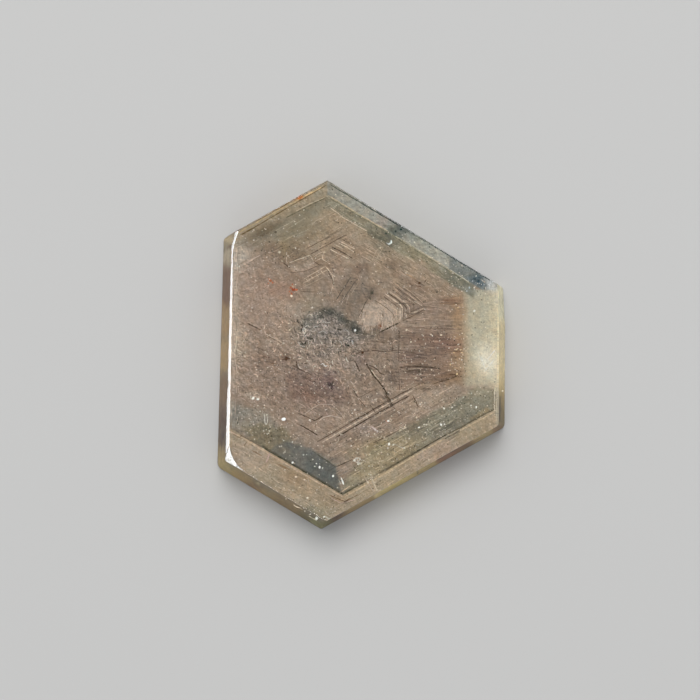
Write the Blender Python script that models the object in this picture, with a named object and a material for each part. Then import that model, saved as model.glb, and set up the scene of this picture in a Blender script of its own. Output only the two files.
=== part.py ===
"""Polished slice of zoned sapphire (corundum), one natural piece.

The slice is cut across a six-sided crystal, so its plan is a hexagon whose
sides are the crystal's own prism faces, each with its own central distance.
It lies flat on its sawn and polished underside (z = 0). The walls flare
slightly outward going down. Most of the polished rim is only just rounded
over; along the left-hand faces it has a broader flat bevel, which opens into
a small facet at the lower left corner. The lower edge has a narrow rubbed-off
arris. Metres, +Z up.
"""
import math

import bpy
from mathutils import Vector

MM = 0.001

# ---- driving dimensions (mm, degrees) --------------------------------------
THICKNESS = 2.8          # underside to polished top face
RIM_DROP = 0.10          # how far down the wall the rounded rim reaches
RIM_IN = 0.06            # how far in from the wall it reaches on the top face
BEVEL_TILT = 27.0        # slope of the left-hand bevel, from flat
FACET_RADIUS = 2.3       # top outline of the lower left corner facet
FACET_STEEPER = 15.0     # how much steeper than the bevel that facet is
ARRIS_RISE = 0.09        # rubbed lower edge: height
ARRIS_IN = 0.07          # rubbed lower edge: width under the slice
RIM_STEPS = 4            # rings over the rounded rim
WALL_STEPS = 5           # rings down the wall
CORNER_STEPS = 6         # segments round each corner
SIDE_STEPS = 5           # segments along each straight side

# Crystal faces in order round the slice, anticlockwise from the right side:
# name, azimuth of the outward normal, central distance at the foot of the
# wall, how much nearer the centre the wall is at its top (the flare), and
# the width of the flat bevel (0: plain rounded rim).
FACES = (
    ("right_lower", -0.5, 10.03, 0.53, 0.0),
    ("right_upper", 2.9, 10.15, 0.51, 0.0),
    ("upper_right", 58.4, 9.40, 0.27, 0.0),
    ("upper_left", 119.4, 11.98, 0.30, 0.0),
    ("upper_left_cut", 126.5, 12.35, 1.74, 0.17),
    ("left", 178.6, 9.70, 0.65, 0.185),
    ("lower_left", 239.0, 11.53, 0.56, 0.0),
    ("lower_right", 299.1, 9.02, 0.21, 0.0),
)
LEFT, CUT = 5, 4
CUT_TWIST = 37.4         # the corner cut turns this far from foot to top
BEVEL_AZIMUTH = 179.1    # the left bevel widens a little going down
# Radius of the corner that follows each face: at the foot and at the top.
CORNERS = (
    (3.00, 3.00),        # right_lower / right_upper, a faint bend
    (0.30, 0.30),        # right_upper / upper_right
    (0.22, 0.22),        # upper_right / upper_left, the top corner
    (0.30, 0.30),        # upper_left / upper_left_cut
    (0.30, 2.00),        # upper_left_cut / left
    (0.60, 0.60),        # left / lower_left, with the facet above it
    (0.25, 0.20),        # lower_left / lower_right, the bottom corner
    (0.45, 0.30),        # lower_right / right_lower
)
# ----------------------------------------------------------------------------


def corner_point(az_a, dist_a, az_b, dist_b):
    """Where two side lines cross; a side line is n . p = distance."""
    ax, ay = math.cos(math.radians(az_a)), math.sin(math.radians(az_a))
    bx, by = math.cos(math.radians(az_b)), math.sin(math.radians(az_b))
    det = ax * by - ay * bx
    return Vector(((dist_a * by - dist_b * ay) / det,
                   (ax * dist_b - bx * dist_a) / det))


def plan_ring(inset, rise, facet=False):
    """Outline at a height: inset from the foot by face, corners rounded.

    rise is 0 at the foot of the wall and 1 at its top. Every ring has the
    same number of points, so rings bridge one to the next. facet gives the
    outline of the flat top, inside the bevel and its corner facet.
    """
    count = len(FACES)
    dist = [face[2] - inset[i] for i, face in enumerate(FACES)]
    azimuth = [face[1] for face in FACES]
    azimuth[CUT] += CUT_TWIST * rise
    if facet:
        azimuth[LEFT] = BEVEL_AZIMUTH
    arcs = []
    for i in range(count):
        j = (i + 1) % count
        az_a, az_b = azimuth[i], azimuth[j]
        turn = math.radians((az_b - az_a) % 360.0)
        foot, top = CORNERS[i]
        radius = foot + (top - foot) * rise
        if facet and i == LEFT:
            radius = FACET_RADIUS
        tip = corner_point(az_a, dist[i], az_b, dist[j])
        mid = math.radians(az_a) + turn / 2.0
        back = radius / math.cos(turn / 2.0)
        centre = tip - Vector((math.cos(mid), math.sin(mid))) * back
        arc = []
        for k in range(CORNER_STEPS + 1):
            ang = math.radians(az_a) + turn * k / CORNER_STEPS
            arc.append(centre + Vector((math.cos(ang), math.sin(ang))) * radius)
        arcs.append(arc)
    ring = []
    for i in range(count):
        ring.extend(arcs[i])
        start, end = arcs[i][-1], arcs[(i + 1) % count][0]
        for k in range(1, SIDE_STEPS):
            ring.append(start.lerp(end, k / SIDE_STEPS))
    return ring


def ring_values(per_face, turn_step=None):
    """A number per face spread over the ring's points."""
    count = len(FACES)
    out = []
    for i in range(count):
        a = per_face[i]
        b = a + (per_face[(i + 1) % count] - a if turn_step is None
                 else turn_step[i])
        out += [a + (b - a) * k / CORNER_STEPS for k in range(CORNER_STEPS + 1)]
        out += [b] * (SIDE_STEPS - 1)
    return out


def level_rings():
    """Outlines, as lists of 3D points, from the underside to the top face."""
    flare = [face[3] for face in FACES]
    bevel = [face[4] for face in FACES]
    top_azimuth = [face[1] for face in FACES]
    top_azimuth[CUT] += CUT_TWIST
    swing = [(top_azimuth[(i + 1) % len(FACES)] - top_azimuth[i]) % 360.0
             for i in range(len(FACES))]
    heading = ring_values(top_azimuth, swing)
    flat = ring_values([1.0 if w else 0.0 for w in bevel])
    sole = plan_ring([ARRIS_IN] * len(FACES), 0.0)
    foot = plan_ring([0.0] * len(FACES), 0.0)
    edge = plan_ring(flare, 1.0)
    inner = plan_ring([flare[i] + (bevel[i] or RIM_IN)
                       for i in range(len(FACES))], 1.0, facet=True)
    # the facet takes up the whole corner at the lower end of the bevel
    slope = [math.tan(math.radians(BEVEL_TILT))] * len(flat)
    first = LEFT * (CORNER_STEPS + SIDE_STEPS)
    for k in range(CORNER_STEPS + 1):
        t = k / CORNER_STEPS
        flat[first + k] = 1.0 - t ** 4
        slope[first + k] = math.tan(math.radians(
            BEVEL_TILT + FACET_STEEPER * math.sin(math.pi * t)))
    low, high = ARRIS_RISE, THICKNESS - RIM_DROP
    brow = []                        # the wall's upper edge
    for e, n, h, f, w, s in zip(edge, inner, heading, flat, foot, slope):
        run = (e - n).dot(Vector((math.cos(math.radians(h)),
                                  math.sin(math.radians(h)))))
        drop = RIM_DROP * (1.0 - f) + run * s * f
        z = THICKNESS - min(max(drop, 0.05), 0.5)
        at = w.lerp(e, (z - low) / (high - low))
        brow.append((at, z))
    rings = [[(p.x, p.y, 0.0) for p in sole]]
    for k in range(WALL_STEPS + 1):
        t = k / WALL_STEPS
        ring = []
        for w, (at, z) in zip(foot, brow):
            p = w.lerp(at, t)
            ring.append((p.x, p.y, low + (z - low) * t))
        rings.append(ring)
    for k in range(1, RIM_STEPS + 1):
        t = k / RIM_STEPS
        ang = math.pi / 2.0 * t
        ring = []
        for (at, z), n, f in zip(brow, inner, flat):
            p = at.lerp(n, (1.0 - math.cos(ang)) * (1.0 - f) + t * f)
            up = math.sin(ang) * (1.0 - f) + t * f
            ring.append((p.x, p.y, z + (THICKNESS - z) * up))
        rings.append(ring)
    return rings


def build_slice():
    rings = level_rings()
    xs = [p[0] for ring in rings for p in ring]
    ys = [p[1] for ring in rings for p in ring]
    mid_x, mid_y = (min(xs) + max(xs)) / 2.0, (min(ys) + max(ys)) / 2.0

    verts, faces = [], []
    count = len(rings[0])
    for ring in rings:
        for x, y, z in ring:
            verts.append(((x - mid_x) * MM, (y - mid_y) * MM, z * MM))
    for level in range(len(rings) - 1):
        a, b = level * count, (level + 1) * count
        for k in range(count):
            n = (k + 1) % count
            faces.append((a + k, a + n, b + n, b + k))
    faces.append(tuple(reversed(range(count))))
    top = (len(rings) - 1) * count
    faces.append(tuple(range(top, top + count)))

    mesh = bpy.data.meshes.new("sapphire_slice")
    mesh.from_pydata(verts, [], faces)
    mesh.validate()
    mesh.update()
    mesh.shade_smooth()
    mesh.set_sharp_from_angle(angle=math.radians(20.0))
    return bpy.data.objects.new("sapphire_slice", mesh)


def sapphire_material():
    """Smoky brown-grey corundum, glassy polish."""
    mat = bpy.data.materials.new("sapphire")
    mat.use_nodes = True
    shader = mat.node_tree.nodes["Principled BSDF"]
    shader.inputs["Base Color"].default_value = (0.27, 0.20, 0.15, 1.0)
    shader.inputs["Roughness"].default_value = 0.12
    shader.inputs["Metallic"].default_value = 0.0
    shader.inputs["IOR"].default_value = 1.77
    return mat


def main():
    for obj in list(bpy.data.objects):
        bpy.data.objects.remove(obj, do_unlink=True)
    piece = build_slice()
    piece.data.materials.append(sapphire_material())
    bpy.context.scene.collection.objects.link(piece)
    piece.location = (0.0, 0.0, 0.0)


main()
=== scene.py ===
"""Looks of the sapphire slice: a polished, six-sided slab of zoned corundum.

One transparent skin (the polished crystal) carries the outside shape. What is
sealed in the crystal is made inside it: the silk-clouded growth zones, the
fine growth and twin planes, rutile needles, hematite flecks and fluid specks.
"""

import math

import bpy
import numpy as np
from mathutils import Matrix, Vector


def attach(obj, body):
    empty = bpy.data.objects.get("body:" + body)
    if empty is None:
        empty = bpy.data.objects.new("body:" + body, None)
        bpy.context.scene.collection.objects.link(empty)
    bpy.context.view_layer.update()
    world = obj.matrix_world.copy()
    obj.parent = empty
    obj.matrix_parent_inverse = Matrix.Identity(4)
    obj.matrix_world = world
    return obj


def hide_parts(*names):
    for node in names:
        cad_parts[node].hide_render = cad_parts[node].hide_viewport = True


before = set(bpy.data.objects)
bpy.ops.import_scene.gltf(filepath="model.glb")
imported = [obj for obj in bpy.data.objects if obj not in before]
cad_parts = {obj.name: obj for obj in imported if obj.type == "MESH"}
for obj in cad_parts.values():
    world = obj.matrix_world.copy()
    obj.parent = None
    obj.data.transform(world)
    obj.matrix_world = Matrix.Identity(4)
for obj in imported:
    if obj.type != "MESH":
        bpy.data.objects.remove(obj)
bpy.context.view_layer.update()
NODE = "sapphire_slice"

MM = 0.001
# ---- the slice's outline, as in the CAD: the crystal's own prism faces -------
THICKNESS = 2.8
RIM_DROP, RIM_IN = 0.10, 0.06
ARRIS_RISE, ARRIS_IN = 0.09, 0.07
BEVEL_TILT, FACET_RADIUS, BEVEL_AZIMUTH = 27.0, 2.3, 179.1
FACET_STEEPER = 15.0
FACES = (                       # azimuth, distance at the foot, flare, bevel
    (-0.5, 10.03, 0.53, 0.0), (2.9, 10.15, 0.51, 0.0), (58.4, 9.40, 0.27, 0.0),
    (119.4, 11.98, 0.30, 0.0), (126.5, 12.35, 1.74, 0.17),
    (178.6, 9.70, 0.65, 0.185), (239.0, 11.53, 0.56, 0.0),
    (299.1, 9.02, 0.21, 0.0),
)
LEFT, CUT, CUT_TWIST = 5, 4, 37.4
CORNERS = (
    (3.00, 3.00), (0.30, 0.30), (0.22, 0.22), (0.30, 0.30),
    (0.30, 2.00), (0.60, 0.60), (0.25, 0.20), (0.45, 0.30),
)


# ============================================================ outline
def tip_point(az_a, dist_a, az_b, dist_b):
    ax, ay = math.cos(math.radians(az_a)), math.sin(math.radians(az_a))
    bx, by = math.cos(math.radians(az_b)), math.sin(math.radians(az_b))
    det = ax * by - ay * bx
    return (dist_a * by - dist_b * ay) / det, (ax * dist_b - bx * dist_a) / det


def plan_ring(inset, rise, corner_steps=6, side_steps=5, facet=False):
    """Outline at a height, in mm, as an (n, 2) array."""
    count = len(FACES)
    dist = [FACES[i][1] - inset[i] for i in range(count)]
    azimuth = [f[0] for f in FACES]
    azimuth[CUT] += CUT_TWIST * rise
    if facet:
        azimuth[LEFT] = BEVEL_AZIMUTH
    arcs = []
    for i in range(count):
        j = (i + 1) % count
        az_a, az_b = azimuth[i], azimuth[j]
        swing = math.radians((az_b - az_a) % 360.0)
        foot, top = CORNERS[i]
        r = foot + (top - foot) * rise
        if facet and i == LEFT:
            r = FACET_RADIUS
        tx, ty = tip_point(az_a, dist[i], az_b, dist[j])
        mid = math.radians(az_a) + swing / 2.0
        back = r / math.cos(swing / 2.0)
        cx, cy = tx - math.cos(mid) * back, ty - math.sin(mid) * back
        ang = math.radians(az_a) + swing * np.arange(corner_steps + 1) / corner_steps
        arcs.append(np.stack([cx + np.cos(ang) * r, cy + np.sin(ang) * r], 1))
    ring = []
    for i in range(count):
        ring.append(arcs[i])
        start, end = arcs[i][-1], arcs[(i + 1) % count][0]
        n = side_steps[i] if isinstance(side_steps, (list, tuple)) else side_steps
        t = (np.arange(1, n) / n)[:, None]
        ring.append(start + (end - start) * t)
    return np.concatenate(ring)


def flare_at(rise):
    return [f[2] * rise for f in FACES]


def spread_faces(per_face, sides, corner_steps, swing=None):
    """A number per face spread over a ring's vertices, blending at corners."""
    out = []
    n_face = len(FACES)
    for i in range(n_face):
        j = (i + 1) % n_face
        a = per_face[i]
        b = per_face[j] if swing is None else a + swing[i]
        out += [a + (b - a) * k / corner_steps for k in range(corner_steps + 1)]
        out += [b] * ((sides[i] if isinstance(sides, list) else sides) - 1)
    return np.array(out)


def rim_rings(sides, corner_steps):
    """Foot, brow (the wall's upper edge, with its z) and flat-top outlines.

    Also how flat the rim is at each vertex: 0 rounded, 1 the flat bevel.
    """
    count = len(FACES)
    steps = dict(corner_steps=corner_steps, side_steps=sides)
    flare = flare_at(1)
    foot = plan_ring([0.0] * count, 0.0, **steps)
    edge = plan_ring(flare, 1.0, **steps)
    inner = plan_ring([flare[i] + (FACES[i][3] or RIM_IN) for i in range(count)],
                      1.0, facet=True, **steps)
    top_az = [f[0] for f in FACES]
    top_az[CUT] += CUT_TWIST
    swing = [(top_az[(i + 1) % count] - top_az[i]) % 360.0 for i in range(count)]
    h = np.radians(spread_faces(top_az, sides, corner_steps, swing))
    flat = spread_faces([1.0 if f[3] else 0.0 for f in FACES],
                        sides, corner_steps)
    # the facet takes up the whole corner at the lower end of the bevel
    slope = np.full(len(flat), math.tan(math.radians(BEVEL_TILT)))
    first = LEFT * (corner_steps + sides) if not isinstance(sides, list) \
        else sum(corner_steps + n for n in sides[:LEFT])
    t = np.arange(corner_steps + 1) / corner_steps
    flat[first:first + corner_steps + 1] = 1.0 - t ** 4
    slope[first:first + corner_steps + 1] = np.tan(np.radians(
        BEVEL_TILT + FACET_STEEPER * np.sin(math.pi * t)))
    run = ((edge - inner) * np.stack([np.cos(h), np.sin(h)], 1)).sum(1)
    drop = RIM_DROP * (1 - flat) + run * slope * flat
    z = THICKNESS - np.clip(drop, 0.05, 0.5)
    t = (z - ARRIS_RISE) / (THICKNESS - RIM_DROP - ARRIS_RISE)
    brow = foot + (edge - foot) * t[:, None]
    return foot, brow, z, inner, flat


# the CAD centres its box on the origin; the same outline gives the same shift
_foot = plan_ring([0.0] * len(FACES), 0.0)
SHIFT = (_foot.min(0) + _foot.max(0)) / 2.0


# ============================================================ camera
# The slice is seen from almost straight above, the camera leaning about
# five degrees toward the slice's lower corner.
UNIT = 24.0 / 347.8                 # mm in the slice's plane per chart unit
CAM_DIST, CAM_TILT = 230.0, math.radians(5.0)
AIM = np.array([-0.7123 - SHIFT[0], 0.4802 - SHIFT[1], THICKNESS / 2])
FWD = np.array([0.0, math.sin(CAM_TILT), -math.cos(CAM_TILT)])
CUP = np.array([0.0, math.cos(CAM_TILT), math.sin(CAM_TILT)])
CAM_POS = AIM - FWD * CAM_DIST


def chart(x, y, z=THICKNESS - 0.12):
    """Chart units of a place on the slice: 1 unit is 0.069 mm, v runs down.

    The growth zones below are laid out in this chart.
    """
    dx, dy, dz = x - CAM_POS[0], y - CAM_POS[1], z - CAM_POS[2]
    depth = dy * FWD[1] + dz * FWD[2]
    k = (CAM_DIST / UNIT) / depth
    return 350.0 + k * dx, 350.0 - k * (dy * CUP[1] + dz * CUP[2])


def place(u, v, z=THICKNESS - 0.12):
    """Inverse of chart: mm on the slice at height z."""
    f = CAM_DIST / UNIT
    d = FWD[:, None] * f + np.array([[1.0], [0], [0]]) * (np.atleast_1d(u) - 350.0) \
        + CUP[:, None] * (350.0 - np.atleast_1d(v))
    t = (z - CAM_POS[2]) / d[2]
    p = CAM_POS[:, None] + d * t
    return p[0], p[1]


# ============================================================ mesh helpers
def new_mesh(name, verts, faces, smooth=None):
    """verts in mm."""
    mesh = bpy.data.meshes.new(name)
    verts = np.asarray(verts, float) * MM
    loops = np.concatenate([np.asarray(f).ravel() for f in faces]) \
        if isinstance(faces, (list, tuple)) and len(faces) and hasattr(faces[0], "shape") \
        else None
    if loops is not None:            # a list of (k, n) index arrays
        sizes = np.concatenate([np.full(f.shape[0], f.shape[1]) for f in faces])
        mesh.vertices.add(len(verts))
        mesh.vertices.foreach_set("co", verts.astype(np.float32).ravel())
        mesh.loops.add(len(loops))
        mesh.loops.foreach_set("vertex_index", loops.astype(np.int32))
        mesh.polygons.add(len(sizes))
        start = np.concatenate([[0], np.cumsum(sizes)[:-1]]).astype(np.int32)
        mesh.polygons.foreach_set("loop_start", start)
        mesh.update(calc_edges=True)
    else:
        mesh.from_pydata([tuple(v) for v in verts], [], [tuple(f) for f in faces])
    mesh.validate()
    mesh.update()
    if smooth is not None:
        mesh.shade_smooth() if smooth else mesh.shade_flat()
    obj = bpy.data.objects.new(name, mesh)
    bpy.context.scene.collection.objects.link(obj)
    return obj


def loft(rings, cap_low=True, cap_high=True):
    """rings: list of (z, (n, 2) array). Returns verts, face arrays."""
    n = len(rings[0][1])
    verts = np.concatenate([np.column_stack([r, np.full(n, z) if np.isscalar(z) else z])
                            for z, r in rings])
    k = np.arange(n)
    m = (k + 1) % n
    faces = []
    for lv in range(len(rings) - 1):
        a, b = lv * n, (lv + 1) * n
        faces.append(np.stack([a + k, a + m, b + m, b + k], 1))
    if cap_low:
        faces.append(k[::-1][None, :])
    if cap_high:
        faces.append(((len(rings) - 1) * n + k)[None, :])
    return verts, faces


def colour_layer(mesh, name, rgb, alpha=0.2):
    layer = mesh.color_attributes.new(name=name, type="FLOAT_COLOR", domain="POINT")
    data = np.ones((len(mesh.vertices), 4), np.float32)
    data[:, :3] = rgb
    data[:, 3] = alpha
    layer.data.foreach_set("color", data.ravel())


def value_layer(mesh, name, values):
    layer = mesh.attributes.new(name=name, type="FLOAT", domain="POINT")
    layer.data.foreach_set("value", np.asarray(values, np.float32))


def to_linear(srgb):
    c = np.clip(np.asarray(srgb, float) / 255.0, 0, 1)
    return np.where(c <= 0.04045, c / 12.92, ((c + 0.055) / 1.055) ** 2.4)


# Inside corundum most diffuse light is thrown back by the polished faces, so
# a zone's own reflectance has to be well above the tone it shows outside.
ALBEDO_A = np.array([0.443, 0.463, 0.462])
ALBEDO_B = np.array([0.38, 0.36, 0.34])
ALBEDO_C = np.array([0.022, 0.014, 0.017])


def to_albedo(srgb):
    """Reflectance whose tone under the polish is the given one."""
    v = np.clip(to_linear(srgb) - ALBEDO_C, 0.002, None)
    return np.clip(v / (ALBEDO_A + ALBEDO_B * v), 0.004, 0.97)

# ---------------------------------------------------------------- noise
def _hash(ix, iy, seed):
    n = (ix.astype(np.int64) * 374761393 + iy.astype(np.int64) * 668265263
         + seed * 974634777) & 0xFFFFFFFF
    n = ((n ^ (n >> 13)) * 1274126177) & 0xFFFFFFFF
    n = ((n ^ (n >> 16)) * 2246822519) & 0xFFFFFFFF
    return ((n ^ (n >> 15)) & 0xFFFFFF) / float(0x1000000)


def noise(x, y, seed=0):
    """Gradient noise, about -1..1."""
    x0, y0 = np.floor(x), np.floor(y)
    fx, fy = x - x0, y - y0
    u = fx * fx * fx * (fx * (fx * 6 - 15) + 10)
    v = fy * fy * fy * (fy * (fy * 6 - 15) + 10)

    def corner(dx, dy):
        ang = _hash(x0 + dx, y0 + dy, seed) * 2 * math.pi
        return np.cos(ang) * (fx - dx) + np.sin(ang) * (fy - dy)

    a = corner(0, 0) * (1 - u) + corner(1, 0) * u
    b = corner(0, 1) * (1 - u) + corner(1, 1) * u
    return (a * (1 - v) + b * v) * 1.5


def fbm(x, y, octaves=4, seed=0, gain=0.5):
    total, amp, norm = 0.0, 1.0, 0.0
    for k in range(octaves):
        total = total + amp * noise(x * 2 ** k, y * 2 ** k, seed + 17 * k)
        norm += amp
        amp *= gain
    return total / norm


def turn(x, y, deg):
    c, s = math.cos(math.radians(deg)), math.sin(math.radians(deg))
    return x * c + y * s, -x * s + y * c


# ------------------------------------------------------------- masks
def soft(d, w):
    """1 inside (d < -w), 0 outside (d > w), smooth between."""
    t = np.clip((w - d) / (2 * w), 0, 1)
    return t * t * (3 - 2 * t)


def poly_sd(x, y, pts):
    """Signed distance to a polygon, negative inside."""
    n = len(pts)
    best = np.full(x.shape, 1e9)
    inside = np.zeros(x.shape, bool)
    for i in range(n):
        ax, ay = pts[i]
        bx, by = pts[(i + 1) % n]
        ex, ey = bx - ax, by - ay
        wx, wy = x - ax, y - ay
        t = np.clip((wx * ex + wy * ey) / (ex * ex + ey * ey), 0, 1)
        best = np.minimum(best, (wx - ex * t) ** 2 + (wy - ey * t) ** 2)
        cross = (ay > y) != (by > y)
        with np.errstate(divide='ignore', invalid='ignore'):
            xi = ax + (y - ay) * ex / (ey if ey else 1e-9)
        inside ^= cross & (x < xi)
    d = np.sqrt(best)
    return np.where(inside, -d, d)


def line_d(x, y, pts):
    """Distance to an open polyline, and how far along it (0..1)."""
    best = np.full(x.shape, 1e9)
    along = np.zeros(x.shape)
    lens = [math.dist(pts[i], pts[i + 1]) for i in range(len(pts) - 1)]
    total, run = sum(lens), 0.0
    for i in range(len(pts) - 1):
        ax, ay = pts[i]
        bx, by = pts[i + 1]
        ex, ey = bx - ax, by - ay
        wx, wy = x - ax, y - ay
        t = np.clip((wx * ex + wy * ey) / (ex * ex + ey * ey), 0, 1)
        d = (wx - ex * t) ** 2 + (wy - ey * t) ** 2
        near = d < best
        along = np.where(near, (run + t * lens[i]) / total, along)
        best = np.where(near, d, best)
        run += lens[i]
    return np.sqrt(best), along


def side(x, y, a, b):
    """Signed distance to the line a->b, positive on its left."""
    ex, ey = b[0] - a[0], b[1] - a[1]
    n = math.hypot(ex, ey)
    return (ex * (y - a[1]) - ey * (x - a[0])) / n

# top-face outline, chart units
FACE=[(327.5,183),(497,284),(498.5,300),(498.8,423),(320.5,525),(241,470.5),(232,462),(228.8,452),(230.5,330),(232.5,246),(237,234)]


def lerp(c, col, m):
    return c + (np.array(col, float) - c) * np.clip(m,0,1)[..., None]

def tint(c, f, m):
    """multiply by f (3) where m"""
    return c * (1 + (np.array(f, float) - 1) * np.clip(m,0,1)[..., None])

# patches: name, polygon (chart units), colour, softness, opacity, warp
PATCHES = [
 # broad tones of the core
 ("core top", [(329,205),(460,288),(462,300),(400,300),(345,262),(300,262),(285,243)], (152,135,115), 10, .9, 4),
 ("left light", [(232,250),(262,270),(280,300),(270,330),(232,345)], (154,135,120), 14, .8, 5),
 # painted highlight: pale haze of the left bevel's gloss along the rim
 ("left rim painted highlight haze", [(230,244),(238,246),(238,330),(236,410),(228,410)], (182,166,147), 5, .85, 2),
 ("lower left brown", [(232,345),(300,350),(340,380),(330,420),(260,405),(230,408)], (138,120,106), 14, .85, 6),
 ("red brown low", [(285,372),(322,370),(345,395),(330,404),(290,402)], (122,102,92), 9, .8, 5),
 ("right red", [(399,333),(460,330),(466,352),(452,386),(400,392)], (129,109,95), 9, .85, 4),
 ("right upper", [(405,285),(462,292),(464,330),(402,332)], (143,124,108), 8, .8, 4),
 ("centre", [(345,338),(400,338),(399,392),(372,400),(345,380)], (136,119,104), 9, .8, 5),
 ("below lines", [(330,440),(420,391),(462,384),(430,418),(380,446),(342,462)], (148,130,113), 8, .8, 4),
 ("light below lines", [(412,396),(452,386),(462,392),(430,410),(415,412)], (163,146,128), 6, .7, 3),
 ("brown tri", [(322,445),(375,418),(392,428),(372,446),(340,452)], (132,115,101), 7, .55, 4),
]

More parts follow.
